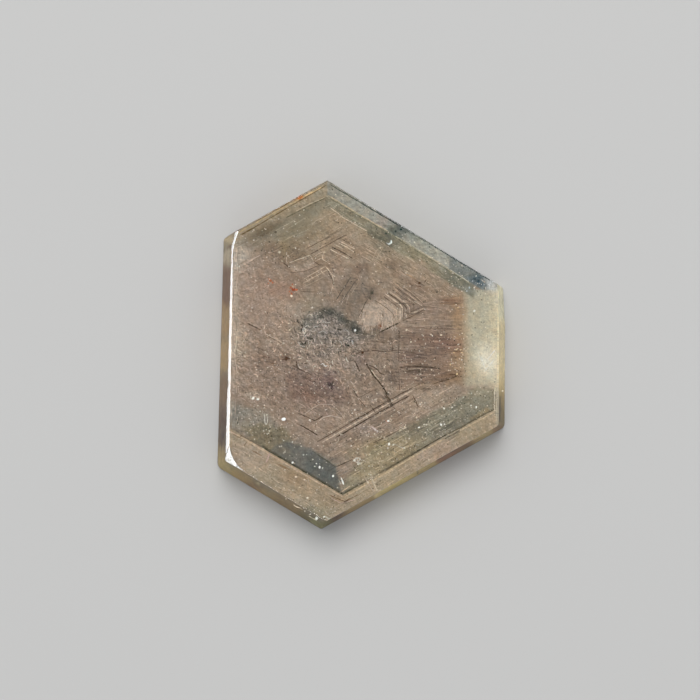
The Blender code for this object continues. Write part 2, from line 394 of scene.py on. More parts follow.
# Cloudy smudges: centre, half lengths, angle, colour, opacity.
SMUDGES = (
    # upper left: olive haze, brown cloud, and a pale corner that is painted haze of the bevel's highlight
    (262, 233, 13, 4.5, -28, (98, 86, 70), .75), (275, 227, 9, 3, -28, (106, 95, 78), .6),
    (300, 226, 24, 12, -28, (123, 114, 95), .6), (306, 210, 20, 3, -28, (118, 109, 90), .6),
    (250, 241, 9, 5, -28, (128, 116, 100), .5), (306, 239, 20, 3.6, -27, (120, 108, 89), .6),
    (318, 219, 10, 4.5, -28, (158, 142, 120), .6), (270, 249, 11, 7, 10, (122, 105, 90), .65),
    (293, 256, 13, 7, 0, (117, 101, 85), .7), (284, 250, 4, 9, 0, (140, 124, 96), .35),
    (264, 275, 9, 7, 0, (134, 115, 100), .5), (282, 290, 15, 9, 0, (150, 116, 98), .45),
    (245, 272, 6, 12, 0, (166, 148, 132), .5), (290, 310, 14, 6, 20, (166, 150, 134), .6),
    (245, 254, 8, 7, 0, (172, 161, 146), .5), (320, 191, 8, 3.5, -25, (150, 144, 126), .5),
    # around the chevron
    (312, 280, 13, 8, -20, (124, 108, 93), .65), (328, 263, 6, 5, 0, (128, 107, 87), .55),
    (322, 292, 9, 5, 0, (128, 114, 99), .45), (297, 279, 7, 5, 0, (132, 114, 98), .4),
    (341, 258, 9, 4, 30, (150, 128, 110), .4), (345, 284, 4, 13, 32, (112, 99, 86), .6),
    (361, 289, 6, 9, 30, (116, 104, 92), .5), (371, 293, 3, 6, 20, (88, 80, 72), .7),
    # over the tan patch and towards the upper right
    (391, 266, 8, 5, 0, (116, 100, 85), .6),
    (361, 269, 7, 5, 0, (114, 98, 87), .5), (385, 281, 10, 5, 20, (130, 112, 98), .5),
    (416, 284, 12, 6, 20, (124, 102, 88), .55), (399, 275, 9, 4, 20, (132, 110, 95), .5),
    (373, 297, 9, 3.5, -30, (120, 106, 94), .6), (396, 302, 12, 3.5, 38, (128, 110, 96), .55),
    (352, 233, 14, 8, 30, (152, 138, 120), .5), (381, 247, 10, 5, 35, (116, 110, 94), .6),
    (401, 253, 10, 4, 35, (152, 146, 124), .5), (421, 264, 8, 4, 30, (160, 134, 116), .6),
    (376, 236, 10, 5, 32, (96, 92, 78), .65), (352, 214, 14, 3, 31, (118, 112, 94), .5),
    (392, 230, 6, 5, 20, (80, 82, 74), .7), (405, 229, 7, 4, 32, (82, 88, 86), .6),
    (418, 238, 8, 3, 32, (118, 124, 114), .5), (442, 262, 6, 5, 30, (166, 158, 146), .5),
    (459, 279, 12, 4, 32, (112, 112, 100), .5), (478, 281, 7, 4.5, 25, (74, 84, 92), .7),
    # painted light: the pale smudge at the upper right corner is floor light seen through the clear corner
    (468, 290, 9, 3.5, 20, (132, 134, 126), .6), (493, 290, 6, 4, 0, (196, 196, 190), .6),
    (435, 292, 11, 6, 0, (146, 128, 108), .5),
    # blue-grey cloud and the crumpled middle
    (328, 312, 8, 5, 0, (84, 79, 73), .7), (346, 321, 8, 4, 35, (88, 83, 76), .6),
    (337, 316, 5, 3, 20, (110, 104, 96), .5),
    (357, 330, 8, 5, 40, (80, 75, 68), .6), (306, 322, 8, 7, -40, (106, 104, 96), .6),
    (297, 331, 6, 11, 0, (116, 108, 98), .6), (304, 343, 7, 4, 0, (106, 99, 91), .6),
    (322, 352, 15, 7, -20, (112, 103, 97), .6), (341, 348, 10, 6, 0, (114, 106, 97), .6),
    (361, 360, 7, 6, 0, (112, 97, 92), .6),
    (377, 331, 8, 4, -10, (98, 88, 78), .75), (388, 338, 16, 4.5, 0, (112, 98, 86), .55),
    (258, 326, 9, 5, 20, (134, 116, 103), .4),
    (345, 363, 15, 6, 30, (152, 140, 130), .6), (303, 368, 9, 5, 0, (150, 134, 124), .5),
    (292, 345, 9, 5, -10, (146, 128, 112), .4), (268, 361, 17, 5, 0, (118, 99, 87), .6),
    (266, 352, 14, 4, 0, (136, 118, 105), .4), (330, 383, 7, 8, 20, (110, 94, 90), .5),
    (306, 395, 10, 6, 10, (120, 94, 80), .55), (340, 396, 8, 8, 0, (118, 100, 90), .5),
    (253, 395, 9, 5, 10, (172, 157, 138), .6), (247, 380, 9, 8, 0, (156, 138, 122), .45),
    # painted highlight: the pale strip along the left rim is haze of the bevel's gloss
    (236, 344, 6, 24, 0, (184, 168, 148), .75), (244, 346, 8, 14, 0, (166, 149, 129), .5),
    (270, 398, 14, 5, 0, (140, 122, 107), .4),
    # right sector
    (448, 344, 15, 7, 0, (122, 94, 84), .6),
    (406, 356, 9, 4, 0, (112, 94, 86), .55), (440, 364, 16, 6, 0, (156, 128, 106), .45),
    (452, 301, 11, 3.5, 0, (136, 106, 88), .5),
    (430, 310, 14, 4, 0, (138, 118, 103), .45), (457, 315, 8, 9, 0, (148, 120, 96), .4),
    (448, 376, 13, 4, -8, (118, 92, 74), .6), (418, 371, 18, 3, 0, (104, 88, 77), .55),
    (404, 347, 6, 4, 0, (152, 136, 120), .5), (392, 377, 5, 6, 0, (100, 86, 78), .8),
    (386, 388, 9, 5, 30, (158, 142, 124), .5), (372, 350, 12, 3, 0, (112, 97, 86), .4),
    (364, 381, 6, 5, 20, (122, 104, 93), .4), (420, 386, 18, 5, -12, (156, 138, 114), .5),
    # below the double lines
    (391, 411, 13, 6, 10, (118, 101, 86), .6), (388, 401, 6, 5, 0, (104, 90, 77), .6),
    (414, 427, 11, 5, -28, (103, 92, 77), .7), (440, 399, 16, 5, -20, (140, 127, 109), .4),
    (365, 429, 10, 5, 20, (162, 147, 137), .55), (372, 446, 14, 7, -30, (150, 138, 101), .55),
    (352, 452, 8, 8, 0, (148, 134, 104), .4), (386, 443, 5, 3, -20, (138, 120, 82), .5),
    (346, 484, 5, 8, 20, (112, 110, 94), .5), (445, 433, 14, 4, -28, (148, 138, 122), .5),
    (470, 414, 10, 4, -28, (134, 128, 110), .5), (310, 437, 12, 7, 10, (150, 134, 120), .5),
    (335, 428, 9, 4, 0, (132, 116, 102), .4), (302, 428, 14, 5, 30, (150, 132, 117), .5),
    (410, 404, 7, 6, 0, (138, 121, 103), .4), (336, 447, 9, 5, -10, (156, 140, 124), .5),
    # lower left
    (237, 412, 7, 10, 0, (116, 113, 106), .6), (247, 427, 6, 5, 0, (138, 127, 108), .5),
    (270, 437, 15, 6, 20, (104, 94, 79), .6), (283, 450, 12, 5, 25, (116, 106, 90), .5),
    (320, 464, 14, 10, 25, (88, 88, 86), .4), (330, 462, 6, 4, 30, (110, 104, 94), .4),
    # the tan band
    (268, 486, 16, 5, 32, (146, 132, 110), .4), (290, 481, 10, 4, 28, (142, 116, 92), .4),
    (300, 492, 12, 4, 30, (136, 122, 98), .4), (334, 500, 9, 4, 0, (138, 112, 84), .5),
    (324, 508, 8, 5, 0, (134, 120, 96), .5), (393, 482, 14, 4, -30, (158, 142, 114), .5),
    (372, 478, 8, 4, -30, (160, 146, 122), .5),
    (442, 452, 10, 3, -30, (150, 124, 98), .4),
    # the cream end
    (474, 374, 8, 8, 0, (166, 150, 122), .5),
    # painted highlight: the narrow pale streaks along x 497 stand for the right rim catching the light
    (497, 386, 3, 8, 0, (208, 194, 164), .7), (497, 372, 3, 10, 0, (214, 202, 176), .6),
    (497, 300, 3, 14, 0, (204, 196, 174), .6), (488, 358, 9, 12, 0, (216, 208, 186), .3),
)


def paint(x, y, strokes=True):
    # gentle warps, so that soft patches have irregular edges
    wx = fbm(x / 17, y / 17, 3, 5)
    wy = fbm(x / 17 + 40, y / 17, 3, 9)
    fx = fbm(x / 5, y / 5, 3, 21)
    fy = fbm(x / 5 + 9, y / 5, 3, 23)
    shape = x.shape + (3,)
    c = np.empty(shape); c[...] = (146, 128, 112)
    big = fbm(x / 38, y / 38, 4, 3)
    c = c * (1 + 0.07 * big[..., None])
    for name, pts, col, s, op, w in PATCHES:
        d = poly_sd(x + wx * w * 2 + fx * w * .6, y + wy * w * 2 + fy * w * .6, pts)
        c = lerp(c, col, soft(d, s) * op)

    def patch(pts, col, s, op=1.0, w=0.0, add=0.0):
        nonlocal c
        d = poly_sd(x + wx * w * 2 + fx * w * .6, y + wy * w * 2 + fy * w * .6, pts) + add
        m = soft(d, s) * op
        c = lerp(c, col, m)
        return m

    def blob(cx, cy, rx, ry, ang, col, op, w=2.0, power=1.0):
        nonlocal c
        u, v = turn(x - cx + fx * w + wx * w, y - cy + fy * w + wy * w, ang)
        r = np.sqrt((u / rx) ** 2 + (v / ry) ** 2)
        m = np.exp(-(r ** 2) * power) * op
        c = lerp(c, col, m)
        return m

    # ---------------- upper left band, outside the growth boundary
    ul_out = side(x, y, (232, 246), (328, 196))        # + is down-right (y down)
    # y runs down, so points above the line are negative
    above = -ul_out
    m_ul = soft(ul_out + 0.0, 1.6) * soft(-above + 0, 1.2)
    band = soft(ul_out, 1.2) * (x < 329)
    c = lerp(c, (150, 135, 112), band * .9)
    # a paler line just inside the rim, darker to the left
    c = lerp(c, (161, 145, 119), np.exp(-((side(x, y, (232, 233.6), (327, 180.6)) - 5.0) / 1.6) ** 2) * .55 * (x < 300))
    blob(299, 198, 5, 1.6, -28, (150, 92, 52), .95, .4)
    blob(305, 196, 7, 1.2, -28, (188, 160, 120), .7, .4)
    patch([(232,234),(246,232),(250,238),(240,247),(230,252)], (150,136,116), 3, .8, 1)
    # painted reflection: a pale patch below the bevel's highlight at the upper left corner
    blob(240, 256, 9, 11, 0, (190, 179, 163), .85, 2)
    # inside the boundary: greenish grey band
    patch([(246,240),(326,198),(330,206),(316,226),(286,243),(262,250)], (141,131,113), 4, .9, 2.5)
    patch([(300,212),(326,199),(330,206),(312,220)], (136,128,110), 2.5, .7, 1.5)
    blob(263, 232, 14, 4.5, -29, (106, 94, 80), .8, 2.5)
    blob(274, 228, 9, 3, -29, (112, 102, 88), .5, 2)
    # dark olive cloud
    blob(272, 246, 12, 7, 20, (134, 117, 99), .6, 3)
    blob(293, 251, 14, 10, 10, (129, 112, 92), .75, 4)
    blob(285, 243, 5, 9, 0, (146, 130, 98), .5, 2)
    blob(280, 262, 8, 4, 30, (126, 109, 95), .6, 2)
    # ---------------- brown upper core
    patch([(331,206),(372,231),(352,258),(318,248),(306,232)], (155,137,114), 5, .75, 2)
    patch([(330,230),(362,240),(362,262),(326,258)], (143,124,106), 5, .6, 2)
    # light polygon left of the chevron
    patch([(288,266),(302,258.5),(311,256),(314,261),(318,265),(306,270),(293,271)], (158,141,124), 1.4, .75, .8)
    blob(318, 262, 6, 4, 30, (130, 112, 94), .6, 1)
    # smudges
    blob(361, 269, 8, 6, 0, (121, 105, 93), .75, 2.5)
    blob(389, 266, 8, 5, -20, (127, 109, 93), .7, 2.5)
    # greenish grey below the chevron
    blob(311, 304, 12, 11, 0, (143, 133, 116), .7, 3)
    # square parallelogram patch
    patch([(350,276),(374,289),(368,299),(362,306),(356,322),(337,306),(341,294)], (125,111,98), 1.8, .85, 1.2)
    # ---------------- tan patch with nested contours
    patch([(373,299),(389,300),(399,307),(400,323),(391,328),(380,333),(359,329),(359,315),(365,304)], (170,152,134), 1.6, .9, 1.2)
    patch([(372,306),(386,305),(394,312),(393,324),(378,329),(364,325),(364,315)], (180,162,144), 3.5, .6, 1.2)
    blob(380, 326, 2.2, 1.8, 0, (128, 84, 58), .8, .6)
    blob(371, 327, 4, 1.6, 0, (128, 104, 84), .5, .6)
    # region of fine parallel lines between the contours and the tip
    patch([(389,289),(400,286),(425,308),(408,316),(407,306)], (140,121,106), 1.5, .7, .6)
    # ---------------- central blue-grey cloud
    cloud = [(299,330),(306,318),(318,311),(328,306),(338,311),(346,319),(357,324),(364,331),(374,334),(366,340),(352,346),(338,340),(325,345),(308,344)]
    patch(cloud, (124,115,107), 5, .85, 2.5)
    blob(329, 312, 8, 4.5, 0, (76, 75, 71), .9, 1.5)
    blob(343, 320, 8, 3.5, 35, (80, 77, 72), .85, 1.5)
    blob(356, 328, 7, 4, 30, (76, 73, 69), .85, 1.5)
    blob(367, 334, 8, 2.5, 10, (100, 92, 82), .8, 1)
    blob(318, 316, 6, 5, -30, (112, 107, 98), .6, 1.5)
    worm = noise(x / 3.1 + fx, y / 3.6 + fy, 77)
    worm2 = np.exp(-(noise(x / 4.2 + .8 * fx, y / 5.0 + .8 * fy, 78) / .16) ** 2)
    wmask = soft(poly_sd(x + wx * 4, y + wy * 4, [(297,326),(312,318),(330,318),(352,330),(360,342),(350,356),(330,352),(318,360),(300,350)]), 5)
    c = tint(c, (1.16, 1.17, 1.19), worm2 * wmask * .8)
    c = c * (1 - .13 * (np.clip(worm, 0, 1) * wmask)[..., None])
    # ---------------- purplish, dark clusters
    blob(329, 381, 9, 10, 0, (117, 100, 95), .7, 3)
    blob(331, 384, 4, 5, 20, (96, 80, 78), .7, 2)
    blob(286, 358, 6, 3, 10, (108, 90, 78), .7, 3)
    blob(307, 400, 10, 5, 10, (118, 98, 88), .4, 3)
    blob(340, 395, 12, 8, 20, (126, 108, 97), .4, 3)
    # right sector colour runs
    blob(430, 338, 26, 6, 0, (120, 99, 86), .75, 3)
    blob(416, 356, 14, 5, 0, (121, 101, 89), .55, 2)
    blob(420, 369, 26, 3.5, 0, (116, 98, 84), .6, 2)
    blob(446, 377, 14, 3, -10, (121, 98, 80), .55, 2)
    patch([(448,292),(462,293),(467,325),(468,352),(463,382),(446,384),(452,350),(450,320)], (152,127,101), 4.5, .8, 2)
    blob(452, 301, 11, 2.2, 0, (134, 104, 84), .6, 1.2)
    blob(455, 349, 9, 7, 0, (133, 104, 82), .55, 2)
    # ---------------- cream zone on the right: partly its own milky cream, partly painted light from the floor coming through
    edge = 465 + 1.8 * fx + 1.5 * wx
    cream = soft(edge - x, 3.8) * soft(289.5 - y, 1.0)
    low = side(x, y, (470, 390), (500, 379))
    cream = cream * soft(y - 386 - 2 * fx, 5)
    base_cream = np.empty(shape); base_cream[...] = (174, 168, 146)
    base_cream = lerp(base_cream, (196, 184, 154), soft(490 - x, 6) * .8)
    base_cream = lerp(base_cream, (170, 164, 143), soft((np.hypot(x - 474, (y - 316) * .6) - 11 + 3 * fx), 6) * .55)
    base_cream = lerp(base_cream, (176, 165, 140), soft((np.hypot((x - 478), (y - 376) * .8) - 9), 6) * .6)
    c = c + (base_cream - c) * cream[..., None]
    c = lerp(c, (168, 150, 122), np.exp(-((x - 466 - 1.5 * fx) / 3.2) ** 2) * .5 * soft(291 - y, 1) * soft(y - 384, 4))
    # painted glow: the brightest spot of the cream zone, near the right rim
    g = blob(487, 362, 9.5, 14, 12, (226, 220, 200), .95, 2.2, 1.0)
    blob(482, 349, 5, 9, 25, (214, 208, 186), .5, 1.5)
    # ---------------- lower right grey-green band inside the V
    band_lr = [(494.5,411),(494.5,388),(488,386.5),(476,388),(462,396),(440,409),(421,419),(400,430),(384,440),(372,450),(352,468),(343,494)]
    patch(band_lr, (140,132,113), 3.0, .95, 1.6)
    patch([(494,409),(494,390),(476,390),(446,408),(420,424),(400,436),(412,440),(440,432),(470,420)], (134,128,111), 3.0, .9, 1.5)
    patch([(482,416),(470,411),(452,420),(434,431),(432,440),(452,432),(470,423)], (108,103,91), 2.5, .8, 1.2)
    patch([(449,409),(471,397),(474,399),(452,411)], (105,101,88), 1.6, .7, .8)
    patch([(372,452),(402,436),(424,438),(402,462),(366,478),(350,486),(352,470)], (153,138,111), 5, .85, 2)
    patch([(478,413),(487,407),(490,411),(478,418),(470,420)], (139,121,95), 1.6, .8, .8)
    patch([(392,458),(412,446),(420,450),(400,463),(380,474),(372,474)], (126,111,86), 3, .5, 1.5)
    # ---------------- lower left, inside the V
    patch([(229,431),(229,406),(243,405),(262,410),(283,424),(290,443),(306,449),(300,462),(343,494)], (136,128,113), 3.0, .0, 1.5)
    patch([(229,428),(229,406),(246,406),(266,411),(276,425),(262,434),(246,436)], (136,128,116), 3.5, .9, 2)
    patch([(243,427),(262,424),(284,428),(292,440),(286,452),(268,451),(250,441)], (122,113,93), 3.2, .85, 2)
    patch([(276,444),(290,441),(306,447),(322,455),(334,465),(337,474),(343,493),(300,470),(268,452)], (104,102,97), 2.0, .95, 1.2)
    patch([(305,455),(322,458),(333,468),(340,490),(318,479),(304,468)], (92,92,88), 3.0, .6, 1.5)
    blob(297, 443, 9, 3.2, 25, (110, 106, 97), .6, 1.5)
    # ---------------- the tan band outside the V
    out_ll = -side(x, y, (231.5, 431.5), (343, 494.5))
    out_lr = side(x, y, (494.5, 410.9), (343, 494.5))
    d_v = np.minimum(np.where(x < 343, 1e9, 1e9), 1e9)
    vpoly = [(225,425.3),(231.5,429.1),(343,494.4),(366,481.7),(400,462.2),(420,450.3),(440,438.7),(460,428.4),(494.5,409.2),(510,400.8),(520,440),(320,545),(200,470)]
    dv = poly_sd(x, y, vpoly)
    mv = soft(dv, .55)
    tan = np.empty(shape); tan[...] = (160, 144, 122)
    tan = tan * (1 + .05 * fbm(x / 22, y / 22, 3, 31)[..., None])
    tan = lerp(tan, (166, 149, 131), soft(np.hypot((x - 250) / 24, (y - 455) / 14) - 1, .5) * .6)
    tan = lerp(tan, (147, 126, 101), np.exp(-(((x - 300) * .86 + (y - 478) * .5) / 26) ** 2 - ((-(x - 300) * .5 + (y - 478) * .86) / 7) ** 2) * .8)
    tan = lerp(tan, (141, 134, 115), soft(np.hypot((x - 312) / 17, (y - 514) / 10) - 1 + .3 * fx, .5) * .85)
    tan = lerp(tan, (162, 148, 124), soft(np.hypot((x - 370) / 34, (y - 484) / 16) - 1, .5) * .6)
    tan = lerp(tan, (163, 143, 127), soft(np.hypot((x - 432) / 26, (y - 450) / 11) - 1, .5) * .6)
    tan = lerp(tan, (152, 137, 113), soft(np.hypot((x - 474) / 22, (y - 430) / 12) - 1, .5) * .6)
    tan = lerp(tan, (150, 140, 120), np.exp(-((x - 268 - 4 * fx) / 14) ** 2 - ((y - 478) / 10) ** 2) * .4)
    c = c + (tan - c) * mv[..., None]
    # warm line just outside the V, thin dark line on it
    c = lerp(c, (173, 146, 112), np.exp(-((dv + 2.0) / 1.2) ** 2) * .55 * (x < 420))
    c = lerp(c, (178, 158, 130), np.exp(-((dv + 1.6) / 1.0) ** 2) * .5 * (x >= 420))
    dark = np.where(x < 262, .25, np.where(x < 420, .8, .5))
    c = lerp(c, (66, 60, 50), np.exp(-((dv - .8) / .8) ** 2) * dark * (dv < 3))
    # V line turning up the right side
    vr = np.abs(x - (494.5 + (410 - y) * .012))
    vm = soft(y - 410, 1.5) * soft(384 - y, 3)
    c = lerp(c, (116, 108, 92), np.exp(-(vr / .8) ** 2) * .55 * vm)
    # painted highlight: the pale strip at the right rim, where the rim catches the light
    c = lerp(c, (166, 153, 130), soft(495.3 - x, .8) * .8 * soft(388 - y, 4) * soft(y - 424, 2))
    # ---------------- upper right: outer band, golden line, inner ring
    g_line = side(x, y, (328, 195), (471, 283))     # distance; + below
    gl = g_line
    # distances inward from the golden line
    inner = gl
    ring = soft(inner - 11.5 - 1.2 * wx, 1.4) * soft(-inner, .8) * (x > 326) * soft(x - 474, 2)
    ringc = np.empty(shape); ringc[...] = (136, 129, 111)
    ringc = lerp(ringc, (104, 101, 88), np.exp(-((x - 390) / 9) ** 2) * .85)
    ringc = lerp(ringc, (134, 126, 102), np.exp(-((x - 418) / 16) ** 2) * .7)
    ringc = lerp(ringc, (110, 108, 95), soft(446 - x, 6) * .85)
    c = c + (ringc - c) * (ring * .92)[..., None]
    outer = soft(inner, .7) * (x > 327.5) * soft(y - 290, 1.2)
    # the outer band's pale grey is partly its own tone and partly painted light from the floor seen through the crystal
    oc = np.empty(shape); oc[...] = (154, 151, 139)
    oc = lerp(oc, (140, 138, 128), soft(x - 334, 6) * .9)
    oc = lerp(oc, (158, 147, 136), np.exp(-((x - 385 + (y - 220)) / 7) ** 2) * .9)
    oc = lerp(oc, (104, 106, 100), np.exp(-((x - 400 + .4 * (y - 230)) / 8.5) ** 2) * .95 * (1 - .4 * fx))
    oc = lerp(oc, (154, 153, 140), np.exp(-((x - 428) / 12) ** 2) * .8)
    oc = lerp(oc, (163, 163, 151), soft(np.abs(x - 441) - 7, 3) * .8)
    oc = lerp(oc, (122, 124, 119), soft(449.3 - x, .8))
    oc = lerp(oc, (104, 112, 114), soft(np.hypot((x - 477) / 11, (y - 281) / 7) - 1 + .35 * fx, .35) * .9)
    # painted light: the pale corner stands for the bright floor seen through the clear crystal
    oc = lerp(oc, (188, 190, 186), soft(486 - x + (y - 283) * .3, 3) * .95)
    c = c + (oc - c) * outer[..., None]
    c = lerp(c, (168, 156, 122), np.exp(-((gl - .6) / .75) ** 2) * .75 * soft(330 - x, 2) * soft(x - 470, 2))
    for cx, cy, rx, ry, ang, col, op in SMUDGES:
        blob(cx, cy, rx, ry, ang, col, op, 1.6)
    return c
# ============================================================ fine detail
# Growth sectors: outline in chart units, and how its striations run (degrees
# from the chart's u axis, v down).
SECTORS = (
    (((232, 246), (329, 200), (372, 232), (352, 262), (290, 264), (238, 266)), -29),
    (((372, 228), (470, 283), (465, 300), (400, 302), (380, 272), (356, 262)), 34),
    (((399, 302), (467, 290), (468, 386), (430, 392), (399, 396)), 0),
    (((326, 444), (395, 399), (432, 384), (495, 385), (495, 410), (343, 494), (330, 470)), -30),
    (((232, 318), (300, 334), (345, 396), (345, 428), (318, 446), (283, 424), (232, 405)), 32),
    (((231, 431), (343, 494), (321, 526), (232, 464)), 30),
    (((343, 496), (495, 412), (498, 424), (322, 526)), -30),
    (((230, 246), (241, 246), (240, 428), (228, 428)), 90),
    (((240, 266), (290, 266), (300, 296), (296, 312), (240, 318)), -29),
)
STRIATED = (0.75, 1.0, 1.1, 1.1, 0.7, 0.9, 0.9, 0.8, 0.5)
OLIVE = ((240, 240), (326, 198), (334, 210), (312, 236), (286, 243), (262, 252))
SLAB = ((276, 444), (306, 447), (334, 465), (343, 493), (300, 470), (268, 452))
CLOUD = ((294, 324), (314, 314), (334, 310), (352, 324), (360, 338), (352, 356), (338, 372),
         (318, 368), (300, 354))
WORMY = ((296, 316), (330, 306), (372, 334), (398, 340), (398, 396), (345, 420),
         (300, 410), (240, 398), (236, 330))


def fine_texture(x, y, c):
    """Striations, crumpled silk and mottling on top of the broad zones."""
    wx, wy = fbm(x / 11, y / 11, 2, 61), fbm(x / 11, y / 11, 2, 67)
    lines = 0.8 * noise(x / 4.2, y / 4.2, 71)
    for (pts, deg), gain in zip(SECTORS, STRIATED):
        m = soft(poly_sd(x + 3 * wx, y + 3 * wy, pts), 5)
        a, b = turn(x + 1.2 * wx, y + 1.2 * wy, deg)
        run = 0.62 * noise(a / 14, b / 1.8, 83) + 0.5 * noise(a / 6, b / 1.15, 89) \
            + 0.6 * noise(a / 26, b / 4.2, 97)
        lines = lines + (gain * run - lines) * m
    grain = 0.55 * noise(x / 1.7, y / 1.7, 103) + 0.55 * noise(x / 2.9, y / 2.9, 107)
    u, v = x + 2.2 * wx, y + 2.2 * wy
    worm = np.exp(-(noise(u / 3.6, v / 3.6, 109) / 0.14) ** 2)
    dark = np.exp(-(noise(u / 4.6, v / 4.1, 113) / 0.11) ** 2)
    wm = 0.3 + 0.9 * soft(poly_sd(x + 6 * wx, y + 6 * wy, WORMY), 9)
    smooth = soft(poly_sd(x, y, OLIVE), 8)
    pale = soft(462 - x, 6) * soft(289 - y, 3) * soft(y - 388, 5)
    calm = (1 - 0.5 * pale) * (1 - 0.45 * smooth)
    k = (0.105 * lines + 0.055 * grain) * calm + (0.115 * worm * wm - 0.035) * calm \
        - (0.10 * dark * wm - 0.025) * calm
    # crumpled mottles a few units wide, with rather sharp edges
    k = k + 0.052 * np.tanh(2.6 * fbm(u / 4.6, v / 3.9, 2, 127)) * (0.6 + 0.6 * wm) * calm
    k = k + 0.030 * np.tanh(2.2 * fbm(u / 9.5, v / 8.0, 2, 137))
    hue = np.tanh(2 * fbm(x / 8, y / 8, 2, 131))
    c = c * (1 + k)[..., None]
    return c * np.stack([1 + 0.020 * hue, 1 - 0.004 * hue, 1 - 0.026 * hue], -1)


def crumple(x, y):
    """How strongly the painted light and shade of the silk's creases shows, 0 to 1."""
    wx, wy = fbm(x / 11, y / 11, 2, 61), fbm(x / 11, y / 11, 2, 67)
    k = 0.40 + 0.12 * soft(poly_sd(x + 6 * wx, y + 6 * wy, WORMY), 10)
    k = k + 0.45 * soft(poly_sd(x + 6 * wx, y + 6 * wy, CLOUD), 9)
    k = k * np.clip(1 + 1.1 * fbm(x / 13, y / 13, 2, 173), 0.25, 1.7)
    k = k * (1 - 0.55 * soft(poly_sd(x, y, OLIVE), 8))
    pale = soft(464 - x, 5) * soft(289 - y, 3) * soft(y - 388, 5)
    k = k * (1 - 0.6 * pale) * (1 - 0.7 * soft(poly_sd(x, y, SLAB), 4))
    k = k * (1 - 0.35 * soft(poly_sd(x, y, SECTORS[2][0]), 8))
    return k * (1 - 0.5 * soft(poly_sd(x, y, SECTORS[5][0]), 3)) \
        * (1 - 0.4 * soft(poly_sd(x, y, SECTORS[6][0]), 3))


DARK, DIM, PALE = (84, 69, 58), (100, 84, 72), (202, 184, 158)
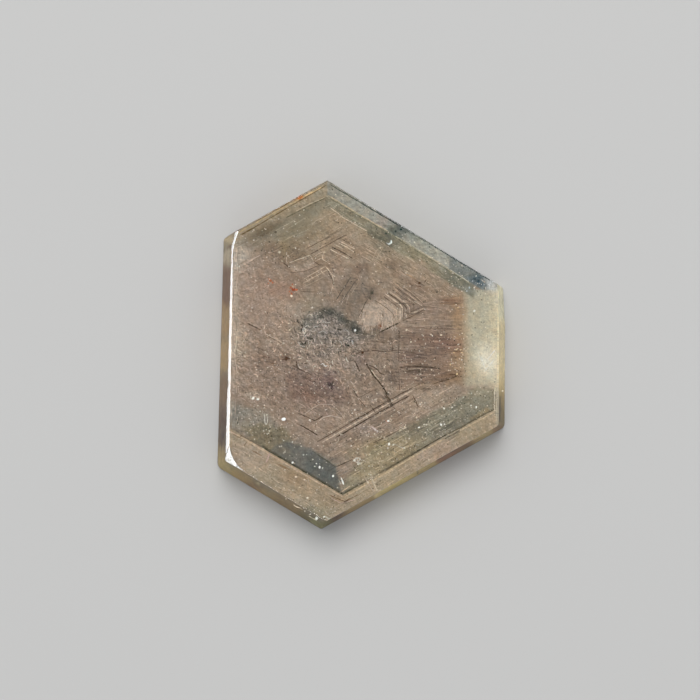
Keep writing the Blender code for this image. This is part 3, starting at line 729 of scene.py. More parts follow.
# Growth lines, twin planes and scratches, listed one by one: colour, width, course.
LINES = (
    # the V of the last dark growth step, with its pale outer side
    (DIM, 0.6, (240, 434.6), (262, 447.2)),
    ((70, 64, 54), 0.8, (262, 447.2), (300, 469.2), (343, 494.6)),
    ((88, 80, 64), 0.8, (343, 494.6), (355, 487.2), (366, 481.8)),
    ((96, 84, 68), 0.7, (385, 471), (400, 462), (410, 456.4)),
    ((74, 64, 52), 0.9, (410, 456.4), (420, 449.8), (440, 438), (447, 434.4)),
    ((88, 78, 64), 0.7, (447, 434.4), (460, 428), (480, 416.6), (494.5, 409)),
    ((184, 164, 138), 1.0, (233, 432.6), (262, 449.8), (300, 472), (343, 497.2)),
    ((186, 166, 134), 1.0, (345, 496.6), (366, 484.6), (400, 464.6), (420, 452.6), (440, 441.2), (460, 430.6), (494.5, 412)),
    ((212, 190, 158), 1.1, (443, 439.4), (452, 434.6), (461, 430)),
    ((116, 94, 74), 0.8, (329.5, 495), (344.5, 501.6), (362, 493)),
    ((186, 162, 146), 0.7, (330, 497.6), (341, 503.2), (356, 499.4)),
    ((198, 188, 164), 0.8, (494.4, 411), (494.7, 387)),
    ((118, 110, 94), 0.6, (492.4, 410), (492.8, 390)),
    # painted highlight: pale lines along the right rim, where it catches the light
    ((216, 202, 166), 1.0, (498, 291), (498, 330), (498.2, 392)),
    ((180, 170, 148), 0.8, (496.8, 388), (496.8, 421)),
    # upper right: the golden step and the core's pale edge
    ((176, 162, 134), 0.7, (328.2, 195.6), (338.2, 201.2)), ((186, 170, 138), 0.8, (338.2, 201.2), (358.2, 213.4)), ((190, 172, 142), 0.8, (360, 214.6),
     (374.8, 223.4), (388.2, 231.2)), ((172, 166, 142), 0.5, (395, 236), (408.2, 243), (418, 249.6)),
    ((180, 170, 146), 0.7, (418, 249.6), (431, 257.6), (448, 268)), ((186, 182, 164), 0.6, (450, 269.6), (470, 282.6)),
    # the far rims: painted shade, the dark edge where the far walls are seen at the rim
    ((74, 76, 70), 0.7, (329.6, 184.3), (366, 206)), ((64, 66, 66), 0.8, (362, 203.6), (400.6, 226.7)),
    ((92, 94, 90), 0.6, (398, 225.1), (446, 253.8)), ((70, 74, 76), 0.8, (442, 251.4), (470, 268.2), (490, 280.4)),
    ((104, 86, 60), 0.7, (242, 234.8), (290, 206.4), (326, 185.4)),
    ((100, 98, 84), 0.5, (330, 198.3), (358, 215.4), (388, 233.2), (431, 259.6), (462, 279.4)),
    (PALE, 0.6, (329.3, 206.8), (343.7, 217.8), (367, 231.2)),
    ((116, 110, 94), 0.6, (334, 207.5), (350, 218.5), (371, 231.5)),
    # upper left
    ((104, 96, 78), 0.9, (286, 217.6), (304.8, 208.3), (327.1, 196.8)),
    ((174, 162, 136), 0.6, (296, 211.2), (310.4, 203.5), (329.3, 195.7)),
    ((176, 154, 114), 0.8, (238, 233), (270, 215), (299, 199.3)),
    ((108, 90, 66), 0.6, (240, 235), (268, 219.4)),
    ((120, 98, 66), 0.7, (246, 226.2), (290, 202.2)),
    ((204, 176, 130), 1.1, (304, 196.6), (321.5, 187.4)),
    ((172, 104, 62), 2.0, (297.4, 199), (303, 196.2)),
    # hatching near the upper core
    (PALE, 0.7, (330, 249), (337, 253), (349, 259)),
    (PALE, 0.6, (337, 240), (347, 245), (355, 249)),
    (PALE, 0.6, (338, 242.6), (347, 247.4), (355, 252.6)),
    (PALE, 0.5, (334, 244), (343, 248.6)),
    (DARK, 0.7, (331, 246.8), (341, 251.4), (352.5, 258.4)),
    (DIM, 0.5, (340, 238.4), (354, 246)),
    (PALE, 0.5, (323.7, 251.5), (322.4, 259), (327.5, 262.4)),
    (DIM, 0.8, (313.7, 261), (318.7, 265), (324.5, 265)),
    ((150, 134, 112), 0.6, (317, 236), (330, 229), (344, 221.6)),
    ((160, 144, 120), 0.5, (313, 246), (326, 239), (338, 232.4)),
    (DIM, 0.6, (306, 249), (320, 241.6), (332, 235.6)),
    (DIM, 0.6, (309, 255), (330, 243.6), (347, 234)),
    # the chevron and its ladder
    ((182, 164, 140), 0.7, (303.5, 279.4), (314, 273), (325.8, 266.3)),
    ((174, 155, 131), 0.8, (302.5, 283.5), (316, 276), (327.5, 269.8)),
    (PALE, 0.6, (326, 266.5), (332.5, 275), (334, 283), (330.6, 293.7)),
    (DARK, 0.7, (328.5, 272.5), (333, 281), (333.5, 286)),
    (PALE, 0.5, (306, 279), (308.5, 282.2)), (PALE, 0.5, (311, 276.2), (313.5, 279.4)),
    (PALE, 0.5, (316, 273.4), (318.5, 276.6)), (PALE, 0.5, (321, 270.6), (323.5, 273.8)),
    ((164, 146, 124), 0.5, (304, 287), (316, 281), (326, 276)),
    (DIM, 0.5, (301, 291.6), (318, 292)),
    (PALE, 0.5, (290, 262.5), (310, 255.2), (313.7, 261)),
    (DIM, 0.5, (290, 272.8), (305, 271.2), (318, 265.8)),
    (DARK, 1.1, (283, 262.5), (290.5, 268.2)),
    (PALE, 0.5, (286.4, 257), (287, 264)),
    # the square patch
    ((88, 80, 72), 0.8, (351, 277), (336, 300)),
    ((88, 80, 72), 0.6, (356.5, 279.5), (341, 303)),
    ((160, 144, 126), 0.7, (345, 295), (341, 305)), ((160, 144, 126), 0.6, (349, 294), (346, 304)),
    ((150, 134, 116), 0.5, (359, 282), (351, 294)),
    ((92, 82, 72), 0.6, (374, 290), (366, 302), (358, 318)),
    # nested contours of the tan patch and its pointed tip
    ((94, 78, 66), 0.9, (387.5, 292.5), (396, 298.7), (403.7, 304.8), (406.3, 307.6), (406.3, 315)),
    ((192, 174, 152), 1.1, (385, 293.6), (393, 299.5), (400.5, 305), (402.6, 308), (402, 318)),
    ((180, 160, 138), 0.9, (389.5, 291.4), (398, 297.4), (406, 303.4), (409.4, 307.6), (409.4, 314)),
    (DIM, 0.5, (392, 289.6), (402, 296.6), (412, 303.6), (414, 307), (413, 313)),
    ((174, 154, 132), 0.7, (394, 288.4), (404.5, 295.8), (415, 303.4)),
    (DIM, 0.5, (396, 287.4), (407, 295), (418, 303)),
    ((174, 154, 132), 0.7, (399, 287.4), (410, 295.4), (420, 303.2)),
    (DIM, 0.5, (402, 287.4), (413, 295.2), (423, 303.8)),
    ((170, 150, 128), 0.6, (404, 286.8), (414, 294.6), (424.4, 304)),
    ((196, 178, 156), 1.0, (400, 307.6), (400.6, 320)), ((192, 174, 152), 1.0, (406, 308.4), (406.4, 318)),
    ((102, 86, 74), 0.7, (403.4, 309), (403.6, 320)), ((104, 88, 76), 0.6, (397.8, 310), (397.8, 321)),
    ((196, 178, 156), 0.9, (414, 300.6), (421, 305), (424.6, 307.8)), ((106, 90, 78), 0.6, (410, 312), (417, 309), (420, 307.6)),
    ((188, 170, 148), 0.6, (381, 299), (393, 308), (399, 312)),
    (DIM, 0.6, (383.5, 296.6), (395, 304.6), (399.5, 309)),
    ((182, 164, 142), 0.5, (377, 302), (388, 310), (397, 317)),
    (DIM, 0.5, (375, 300.4), (386, 307.6), (393, 314)),
    ((78, 67, 57), 1.1, (378.7, 333), (389, 327.6), (400, 322.4)),
    ((104, 87, 73), 0.8, (402, 321.4), (412.5, 316), (424, 309.6)),
    ((184, 166, 144), 1.0, (409, 314.6), (416, 311.6), (423.6, 308.2)),
    ((78, 64, 54), 0.9, (398.8, 330), (399.2, 338)), ((96, 80, 70), 0.6, (399, 340), (398.8, 352), (398.6, 360)),
    ((96, 80, 70), 0.6, (398.8, 370), (399.4, 391)),
    (PALE, 0.6, (397, 310), (397.2, 322)),
    (DIM, 0.6, (392.4, 343), (392.6, 352)),
    # left
    (DARK, 1.0, (247.5, 323.4), (254, 326.6), (261.5, 330.6)),
    ((186, 168, 146), 0.6, (248, 321.9), (258.5, 327.2)),
    ((178, 160, 140), 0.7, (265, 333.4), (272.5, 337.4), (283, 342.8)),
    (DIM, 0.6, (266, 335), (282, 344)),
    ((100, 84, 74), 0.9, (292, 365), (299.5, 369), (306, 372), (312, 375.3)),
    ((88, 66, 55), 1.1, (281.5, 359.4), (291.6, 358.4)), ((100, 78, 66), 0.8, (262, 356), (270, 358)), ((108, 86, 72), 0.7, (270, 363), (280, 365)),
    (DIM, 0.6, (256, 347), (268, 352)), (DIM, 0.5, (262, 376), (276, 381)),
    # right sector
    ((118, 98, 84), 0.6, (404, 327.2), (425, 327.6)), ((112, 92, 78), 0.6, (436, 328.4), (451, 329), (462, 329.4)),
    ((166, 146, 124), 0.5, (404, 324.8), (440, 325.8)),
    ((88, 72, 62), 1.1, (399.5, 367.3), (415, 366.6), (430, 367.2), (441, 369.4)),
    ((88, 72, 62), 0.8, (402, 371.4), (418, 370), (427, 369.8)),
    ((168, 150, 130), 0.5, (401, 369.4), (424, 368.3)),
    ((94, 76, 60), 0.9, (432.5, 384.3), (441, 381.5), (450, 379), (458, 375.4)),
    ((94, 78, 68), 0.8, (355.5, 354.5), (361, 351.6), (375, 350.4), (384, 351.8), (398, 350)),
    (DIM, 0.6, (372, 341.4), (384, 342.2), (398, 341.6)),
    (DIM, 0.7, (398, 350), (408, 351.6), (416, 353.8)),
    (DARK, 1.5, (361, 351.6), (362, 354.6)),
    ((116, 90, 72), 0.8, (441, 300.2), (456, 300.4)),
    ((122, 96, 72), 0.5, (439, 303.6), (462, 304.2)),
    ((96, 74, 58), 0.8, (449, 375), (460, 373.6)),
    ((234, 228, 208), 0.6, (487, 360), (495, 350)), ((234, 228, 208), 0.6, (484, 372), (494, 360)),
    ((230, 224, 204), 0.6, (481, 356), (486, 371)), ((230, 224, 204), 0.5, (478, 352), (482, 362)),
    # hooks and their box
    ((76, 62, 52), 1.2, (367, 365.3), (370, 370), (373.7, 376), (378.7, 381.5),
     (383, 387), (387.5, 395)),
    ((86, 70, 60), 0.9, (368.5, 365.4), (372, 366.4), (376, 368.2), (380, 373), (385.5, 375)),
    (PALE, 0.6, (371, 369.6), (375, 375.4), (380.5, 381)),
    (DARK, 0.7, (390, 372), (399, 372.2)), (DIM, 0.6, (392.4, 381.4), (399, 381.6)),
    # the two straight double lines
    ((96, 80, 68), 0.8, (317, 442), (335, 431.8), (350, 423)), ((84, 68, 58), 1.0, (350, 423), (367, 413.2), (385, 402.6)),
    ((92, 76, 64), 0.9, (385, 402.6), (400, 394.4), (413, 387.4)), ((112, 92, 76), 0.7, (413, 387.4), (425, 381.6)),
    ((188, 168, 146), 1.0, (322, 442.6), (350, 426), (367, 416.2), (385, 405.4), (416, 388.4)),
    ((164, 146, 126), 0.6, (326, 434), (350, 420.2), (374, 406.4)),
    ((82, 67, 57), 1.0, (335, 438), (350, 429.4), (362, 422.2), (385, 409), (400, 400.8), (409, 396)),
    ((168, 149, 129), 0.6, (358, 427.6), (385, 412), (409, 398.6)),
    ((88, 72, 60), 0.9, (412.5, 394.8), (415, 400), (418.5, 407.4)),
    (DIM, 0.9, (384.5, 395), (388, 401), (393, 408)),
    (DARK, 0.8, (352.5, 387.5), (357.5, 397.5)), (DIM, 0.6, (358, 398), (366, 407.5)),
    ((78, 64, 54), 1.1, (354.8, 360.6), (357, 365.4), (359.8, 371.8)),
    ((176, 160, 142), 0.6, (353.6, 362), (355.6, 366.6), (358.2, 371.6)),
    # feathered cloud: dark and pale threads
    ((66, 56, 50), 0.9, (335.4, 328.2), (338, 329.4), (342.6, 329.8)), ((168, 158, 146), 0.7, (337, 331), (342, 331.8)),
    ((222, 216, 206), 1.2, (352, 340.2), (352.6, 342.6), (353.8, 345.6)), ((196, 188, 174), 0.8, (347.4, 338.4), (350, 337), (352, 338)),
    ((68, 62, 56), 1.4, (345.6, 343.4), (347.4, 345.4), (350, 346)), ((70, 62, 56), 0.9, (350.4, 340), (350.6, 344)),
    ((204, 196, 180), 1.0, (304.4, 328), (305.8, 330.6), (304, 334.6)), ((200, 190, 174), 0.9, (307.8, 324.6), (309.4, 327.8)),
    ((74, 64, 56), 1.0, (301.4, 324), (302.4, 328), (301, 332)), ((72, 62, 54), 1.0, (306.6, 338.6), (310, 337.8), (313.6, 339.2), (313.2, 342)),
    ((70, 62, 56), 1.3, (301, 341.4), (302.8, 344.6), (305.4, 343.4), (305.8, 340)),
    ((196, 186, 170), 0.8, (298.6, 341.6), (300, 345.4), (303.2, 346.8)), ((186, 176, 158), 0.7, (307.6, 341), (309.6, 339.8), (311.8, 341.6)),
    ((194, 184, 166), 0.9, (320.6, 341), (322.6, 344.8)), ((192, 182, 164), 0.8, (329.6, 339.4), (331.4, 341.8), (331, 344.8)),
    ((74, 64, 56), 0.9, (331.6, 340.8), (333, 343.2), (332.6, 346)), ((76, 66, 58), 1.2, (317, 348.6), (320, 348)),
    ((186, 176, 158), 0.7, (323.2, 351), (325.2, 353.6), (324.8, 357)), ((74, 64, 58), 0.9, (325.6, 355.6), (327.8, 354.2), (328.4, 351.8)),
    ((216, 208, 192), 0.9, (320.6, 364.6), (323.2, 363.4), (325, 366.2), (327.8, 365.4)), ((78, 66, 58), 0.8, (326.6, 362.6), (328, 359.4)),
    ((178, 168, 152), 0.6, (311.4, 364.6), (313.6, 367.6), (312.8, 371.2)), ((84, 70, 60), 0.9, (304, 363.6), (308, 363.2)),
    ((84, 66, 54), 1.1, (296.4, 361), (296.6, 365.8), (300.6, 370.8)), ((196, 184, 166), 0.7, (298, 364), (299, 367.6), (302, 369)),
    ((72, 60, 56), 1.2, (327.4, 382), (328.6, 385.4), (332, 384.6), (333.4, 380.6)), ((70, 58, 54), 1.0, (330.6, 387.4), (332.8, 389.8)),
    ((196, 182, 168), 0.9, (334.6, 378.6), (337.8, 380.4)), ((188, 176, 164), 0.7, (324.6, 373.4), (327.4, 374.6)),
    ((86, 62, 46), 2.4, (361.4, 352.4), (364, 352.8)), ((72, 56, 46), 1.3, (366.4, 363.2), (367.6, 366)),
    ((78, 66, 56), 0.9, (338.8, 350.8), (342.6, 352.4)), ((80, 66, 56), 1.0, (344.6, 354.8), (346.6, 356.2)),
    ((182, 170, 154), 0.7, (350.6, 381), (353.4, 384.6), (354.6, 383)), ((178, 166, 150), 0.7, (352, 388), (355.4, 391)),
    # bruised clusters of the lower sectors
    ((204, 200, 184), 0.8, (354.6, 458.4), (358.8, 457.8), (362, 460.8)), ((202, 198, 182), 0.7, (355.6, 461.6), (359.6, 463.6), (362.4, 462.6)),
    ((200, 196, 180), 0.6, (356.6, 456.6), (357.6, 461), (360.6, 464.6)), ((196, 192, 176), 0.6, (360.4, 457.2), (358.6, 461.8)),
    ((198, 186, 168), 0.7, (367, 426.4), (371.6, 427.4), (376.6, 431)), ((196, 184, 166), 0.6, (370.6, 430), (375.4, 428)),
    ((200, 190, 172), 0.7, (399, 426.6), (403.6, 428.8), (407.4, 427.4)), ((176, 116, 88), 0.8, (385.4, 420), (388.6, 423)),
    ((198, 186, 160), 0.8, (371.8, 476), (373.4, 482), (377, 491)), ((196, 184, 158), 0.6, (367.4, 479.4), (372, 476.8), (376, 478.4)),
    ((84, 70, 58), 1.1, (384.6, 393), (389.4, 399.6), (394.8, 409.4)), ((90, 76, 62), 0.8, (370, 405), (375.4, 412.6)),
    (DIM, 0.5, (378, 388), (360, 397)),
    # lower left of the core
    (DARK, 1.0, (299.5, 424.8), (309, 429.8), (318.4, 435.5)),
    ((122, 105, 91), 0.6, (284, 420.8), (293.5, 422), (305, 427)),
    ((182, 166, 148), 0.6, (305, 414), (307, 412.4), (313, 408), (319.5, 404.3),
     (332, 404.6), (339, 411), (344.5, 418.8)),
    ((190, 174, 158), 0.8, (318.5, 421), (324, 417), (331, 415.6), (342, 418.2)),
    (DARK, 0.9, (297, 412.6), (306, 416.6), (314.5, 420.8), (318, 419), (323.5, 415.4)),
    ((84, 80, 70), 0.8, (312, 451), (324.5, 459), (336, 467.4)),
    ((94, 80, 66), 0.9, (336, 466.6), (345, 463), (352, 459.4)),
    ((94, 80, 66), 0.7, (373, 443), (391, 434.4), (399, 430)),
    # bands outside the V
    ((122, 98, 78), 0.8, (252, 450.6), (262, 455.8)), ((130, 106, 82), 1.1, (277, 463.6), (290, 470)),
    ((120, 102, 82), 0.6, (242.6, 448), (247.8, 440.4)), ((120, 102, 82), 0.5, (232, 433.8), (247.8, 441.4)),
    ((196, 168, 146), 1.2, (229.6, 431.2), (236, 434.6)),
    ((190, 170, 146), 0.7, (365, 478), (370, 486), (374, 492)),
    ((186, 166, 142), 0.6, (370.5, 476), (376, 490)), ((186, 166, 142), 0.5, (366, 488), (374, 480)),
    ((170, 140, 110), 0.7, (406, 274), (411, 276.2), (416, 279.2)),
    ((104, 80, 62), 0.8, (415, 280.6), (419.6, 282.6)), ((96, 74, 58), 0.7, (424, 283), (427, 279)),
    ((104, 80, 64), 0.7, (416, 285.6), (422, 287.2)), ((100, 80, 66), 0.7, (409, 283), (413, 286)),
    ((172, 156, 130), 0.5, (380, 246.6), (375.6, 252), (372, 261)),
    ((172, 156, 130), 0.5, (383, 248), (378.4, 255), (376, 262)),
    # threads in the blue-grey cloud
    ((182, 178, 168), 0.8, (302, 331), (304, 327.6), (308, 325.4)),
    ((176, 172, 162), 0.7, (297.6, 340.6), (299.4, 344.6), (303.4, 346.4)),
    ((180, 172, 160), 0.7, (305, 338), (308.6, 340.6), (308.4, 345)),
    ((170, 166, 158), 0.6, (311, 331), (314, 327), (319, 326)),
    ((172, 166, 156), 0.6, (322, 320), (326, 323), (331, 322)),
    ((170, 164, 156), 0.6, (318, 333), (323, 330.6), (327, 333.6)),
    ((176, 170, 160), 0.6, (345, 329), (349, 332.6), (348, 337)),
    ((172, 166, 156), 0.6, (338, 340), (342, 343), (341, 348)),
    ((60, 60, 58), 0.8, (353, 327.4), (352.4, 331), (354.2, 333.6)),
    ((64, 62, 58), 0.7, (357.4, 328), (357.6, 332)),
)
# Loose strands: sector index, how many, length range, widths.
STRANDS = ((0, 110, 5, 18), (1, 200, 4, 14), (2, 300, 4, 20), (3, 330, 4, 18),
           (4, 300, 3, 9), (5, 130, 3, 11), (6, 120, 3, 12), (7, 50, 6, 18), (8, 90, 3, 10))


def loose_strands():
    """Short striations scattered through each growth sector."""
    rng = np.random.RandomState(11)
    rows = []
    for sector, count, short, long in STRANDS:
        pts, deg = SECTORS[sector]
        lo, hi = np.min(pts, 0), np.max(pts, 0)
        at = lo + (hi - lo) * rng.rand(count * 8, 2)
        at = at[(poly_sd(at[:, 0], at[:, 1], pts) < -1.5) & (at[:, 0] < 456)][:count]
        for x, y in at:
            size = short + (long - short) * rng.rand() ** 2
            a = math.radians(deg + rng.randn() * 2.5)
            dx, dy = math.cos(a) * size / 2, math.sin(a) * size / 2
            sag = rng.randn() * 0.03 * size
            tone = rng.choice([0.74, 0.82, 0.90, 1.10, 1.18, 1.30])
            rows.append((tone, 0.35 + 0.4 * rng.rand(), (x - dx, y - dy),
                         (x + sag * math.sin(a), y - sag * math.cos(a)), (x + dx, y + dy)))
    # feathery curls in the middle
    at = np.array([236, 308]) + np.array([164, 108]) * rng.rand(900, 2)
    at = at[poly_sd(at[:, 0], at[:, 1], WORMY) < -1][:420]
    cloud = np.array([296, 312]) + np.array([66, 62]) * rng.rand(520, 2)
    cloud = cloud[poly_sd(cloud[:, 0], cloud[:, 1], CLOUD) < 3][:150]
    plain = len(at)
    at = np.concatenate([at, cloud])
    for number, (x, y) in enumerate(at):
        a = rng.rand() * 2 * math.pi
        bend = (0.5 + 0.8 * rng.rand()) * rng.choice([-1, 1])
        step = 0.9 + 1.0 * rng.rand()
        pts = [(x, y)]
        for _ in range(3):
            a += bend * 0.7
            pts.append((pts[-1][0] + step * math.cos(a), pts[-1][1] + step * math.sin(a)))
        tones = [0.64, 0.74, 0.84, 1.18, 1.3, 1.5] if number < plain else [0.6, 0.75, 1.35, 1.55, 1.75]
        rows.append((rng.choice(tones), 0.55 + 0.5 * rng.rand()) + tuple(pts))
    here = np.array([r[2] for r in rows], float)
    here = paint(here[:, 0], here[:, 1])
    out = [(tuple(h * r[0]),) + r[1:] for h, r in zip(here, rows)]
    # the upright feathering of the tan patch
    for _ in range(44):
        x, y = 360 + 37 * rng.rand(), 310 + 18 * rng.rand()
        tone = (206, 188, 168) if rng.rand() < 0.6 else (122, 104, 88)
        out.append((tone, 0.5 + 0.3 * rng.rand(), (x, y),
                    (x + rng.randn() * 0.7, y + 2.5), (x + rng.randn(), y + 5 + 3 * rng.rand())))
    return out


BOLD = 1.25         # how far a listed line stands off its ground


def ribbons(name, strokes, z_top, reflectance, faded=False):
    """Thin closed ribbons, flat side up, at a height in mm.

    Faded ones melt here and there into the ground they lie on.
    """
    verts, tops, fills, tone, ground = [], [], [], [], []
    base = 0
    for number, stroke in enumerate(strokes):
        colour, width = stroke[0], stroke[1]
        pts = np.array(stroke[2:], float)
        seg = np.hypot(*np.diff(pts, axis=0).T)
        total = seg.sum()
        n = max(3, int(total / 1.3) + 1)
        at = np.linspace(0, total, n)
        run = np.concatenate([[0], np.cumsum(seg)])
        x, y = np.interp(at, run, pts[:, 0]), np.interp(at, run, pts[:, 1])
        gx, gy = np.gradient(x), np.gradient(y)
        g = np.hypot(gx, gy)
        nx, ny = -gy / g, gx / g
        wave = noise(at / 7.0, at * 0 + 0.53 * number, 141) * min(0.22, 0.02 * total)
        x, y = x + nx * wave, y + ny * wave
        wide = (1.15 if faded and number < len(LINES) else 1) * width / 2 * (1 + 0.6 * noise(at / 3.3, at * 0 + 0.71 * number, 149))
        wide = np.maximum(wide * np.clip(np.minimum(at, total - at) / 2.2 + 0.25, 0, 1), 0.1)
        seen = z_top if z_top > THICKNESS else THICKNESS - 0.12
        lx, ly = place(x - nx * wide, y - ny * wide, seen)
        rx, ry = place(x + nx * wide, y + ny * wide, seen)
        verts.append(np.column_stack([lx, ly, np.full(n, z_top)]))
        verts.append(np.column_stack([rx, ry, np.full(n, z_top)]))
        verts.append(np.column_stack([(lx + rx) / 2, (ly + ry) / 2, np.full(n, z_top - 0.014)]))
        k = np.arange(n - 1)
        a, b, c = base + k, base + n + k, base + 2 * n + k
        tops += [np.stack([a, a + 1, b + 1, b], 1), np.stack([b, b + 1, c + 1, c], 1),
                 np.stack([c, c + 1, a + 1, a], 1)]
        fills += [(base, base + n, base + 2 * n),
                  (base + n - 1, base + 3 * n - 1, base + 2 * n - 1)]
        base += 3 * n
        mix = np.array(colour) * (1 + 0.12 * noise(at / 2.6, at * 0 + number, 151))[:, None]
        tone += [mix, mix, mix]
        if faded:
            fade = np.clip(0.05 + 0.45 * noise(at / 5.5, at * 0 + 1.37 * number, 157), 0, 0.6)
            ground.append(np.column_stack([x, y, (BOLD if number < len(LINES) else 1) * (1 - fade)]))
    obj = new_mesh(name, np.concatenate(verts), [np.concatenate(tops), np.array(fills)], False)
    tone = np.concatenate(tone)
    if faded:
        here = np.concatenate([np.tile(g, (3, 1)) for g in ground])
        under = paint(here[:, 0], here[:, 1])
        tone = np.clip(under + (tone - under) * here[:, 2:], 30, 246)
    colour_layer(obj.data, "zone", reflectance(tone))
    return obj


def build_lines():
    """Growth lines, sealed just under the polish."""
    strokes = list(LINES) + loose_strands()
    return ribbons("growth_lines", strokes, THICKNESS - GAP_TOP + 0.006, to_albedo, True)


def to_dust(rgb):
    """Reflectance of loose dust for the tone it shows in the open."""
    return np.clip(to_linear(rgb) / 1.08, 0.02, 0.9)


# Lint on the polished face.
LINT = (
    ((226, 220, 204), 0.8, (264, 413.5), (264.6, 417), (265, 423), (266, 424.8),
     (267.5, 422), (267.2, 416)),
    ((238, 236, 226), 1.3, (340.7, 477), (342, 480), (343.2, 483), (344, 485)),
    ((206, 204, 190), 0.5, (338.6, 479.5), (341, 484.5)),
    ((220, 190, 180), 0.9, (270, 452.6), (268, 457.5), (266, 462.6)),
    ((214, 184, 164), 0.6, (265.6, 455.4), (273, 456)),
    ((208, 190, 168), 0.7, (308, 477.5), (308.6, 482), (310, 484.6)),
    ((208, 192, 170), 0.6, (334.4, 443.6), (338.4, 441.4), (338.8, 436.6)),
    ((220, 208, 186), 0.8, (338.5, 433), (343.4, 435)),
    ((226, 232, 226), 1.3, (386.4, 242.6), (388.6, 244.2), (391.4, 242.8), (391.2, 239.6)),
    ((210, 214, 200), 0.7, (315, 518.8), (316.2, 516.6), (318.2, 518), (317, 520.2), (315.2, 519.6)),
    ((214, 212, 196), 0.8, (323, 517.2), (325, 516), (329, 519.2), (331, 517.6)),
    ((204, 200, 186), 0.7, (352.4, 341), (353.4, 345)),
    ((200, 196, 186), 0.5, (302, 331), (304, 327.6), (308, 325.4)),
    ((206, 190, 170), 0.5, (365, 478), (370, 486), (374, 492)),
    ((206, 190, 168), 0.5, (370.5, 476), (376, 490)),
    ((210, 200, 184), 0.5, (352, 462), (356, 458.6), (361, 464)),
    ((204, 196, 178), 0.5, (388, 446), (394, 443.6), (404, 448.6)),
)


def build_lint():
    return ribbons("surface_lint", LINT, THICKNESS + 0.010, to_dust)


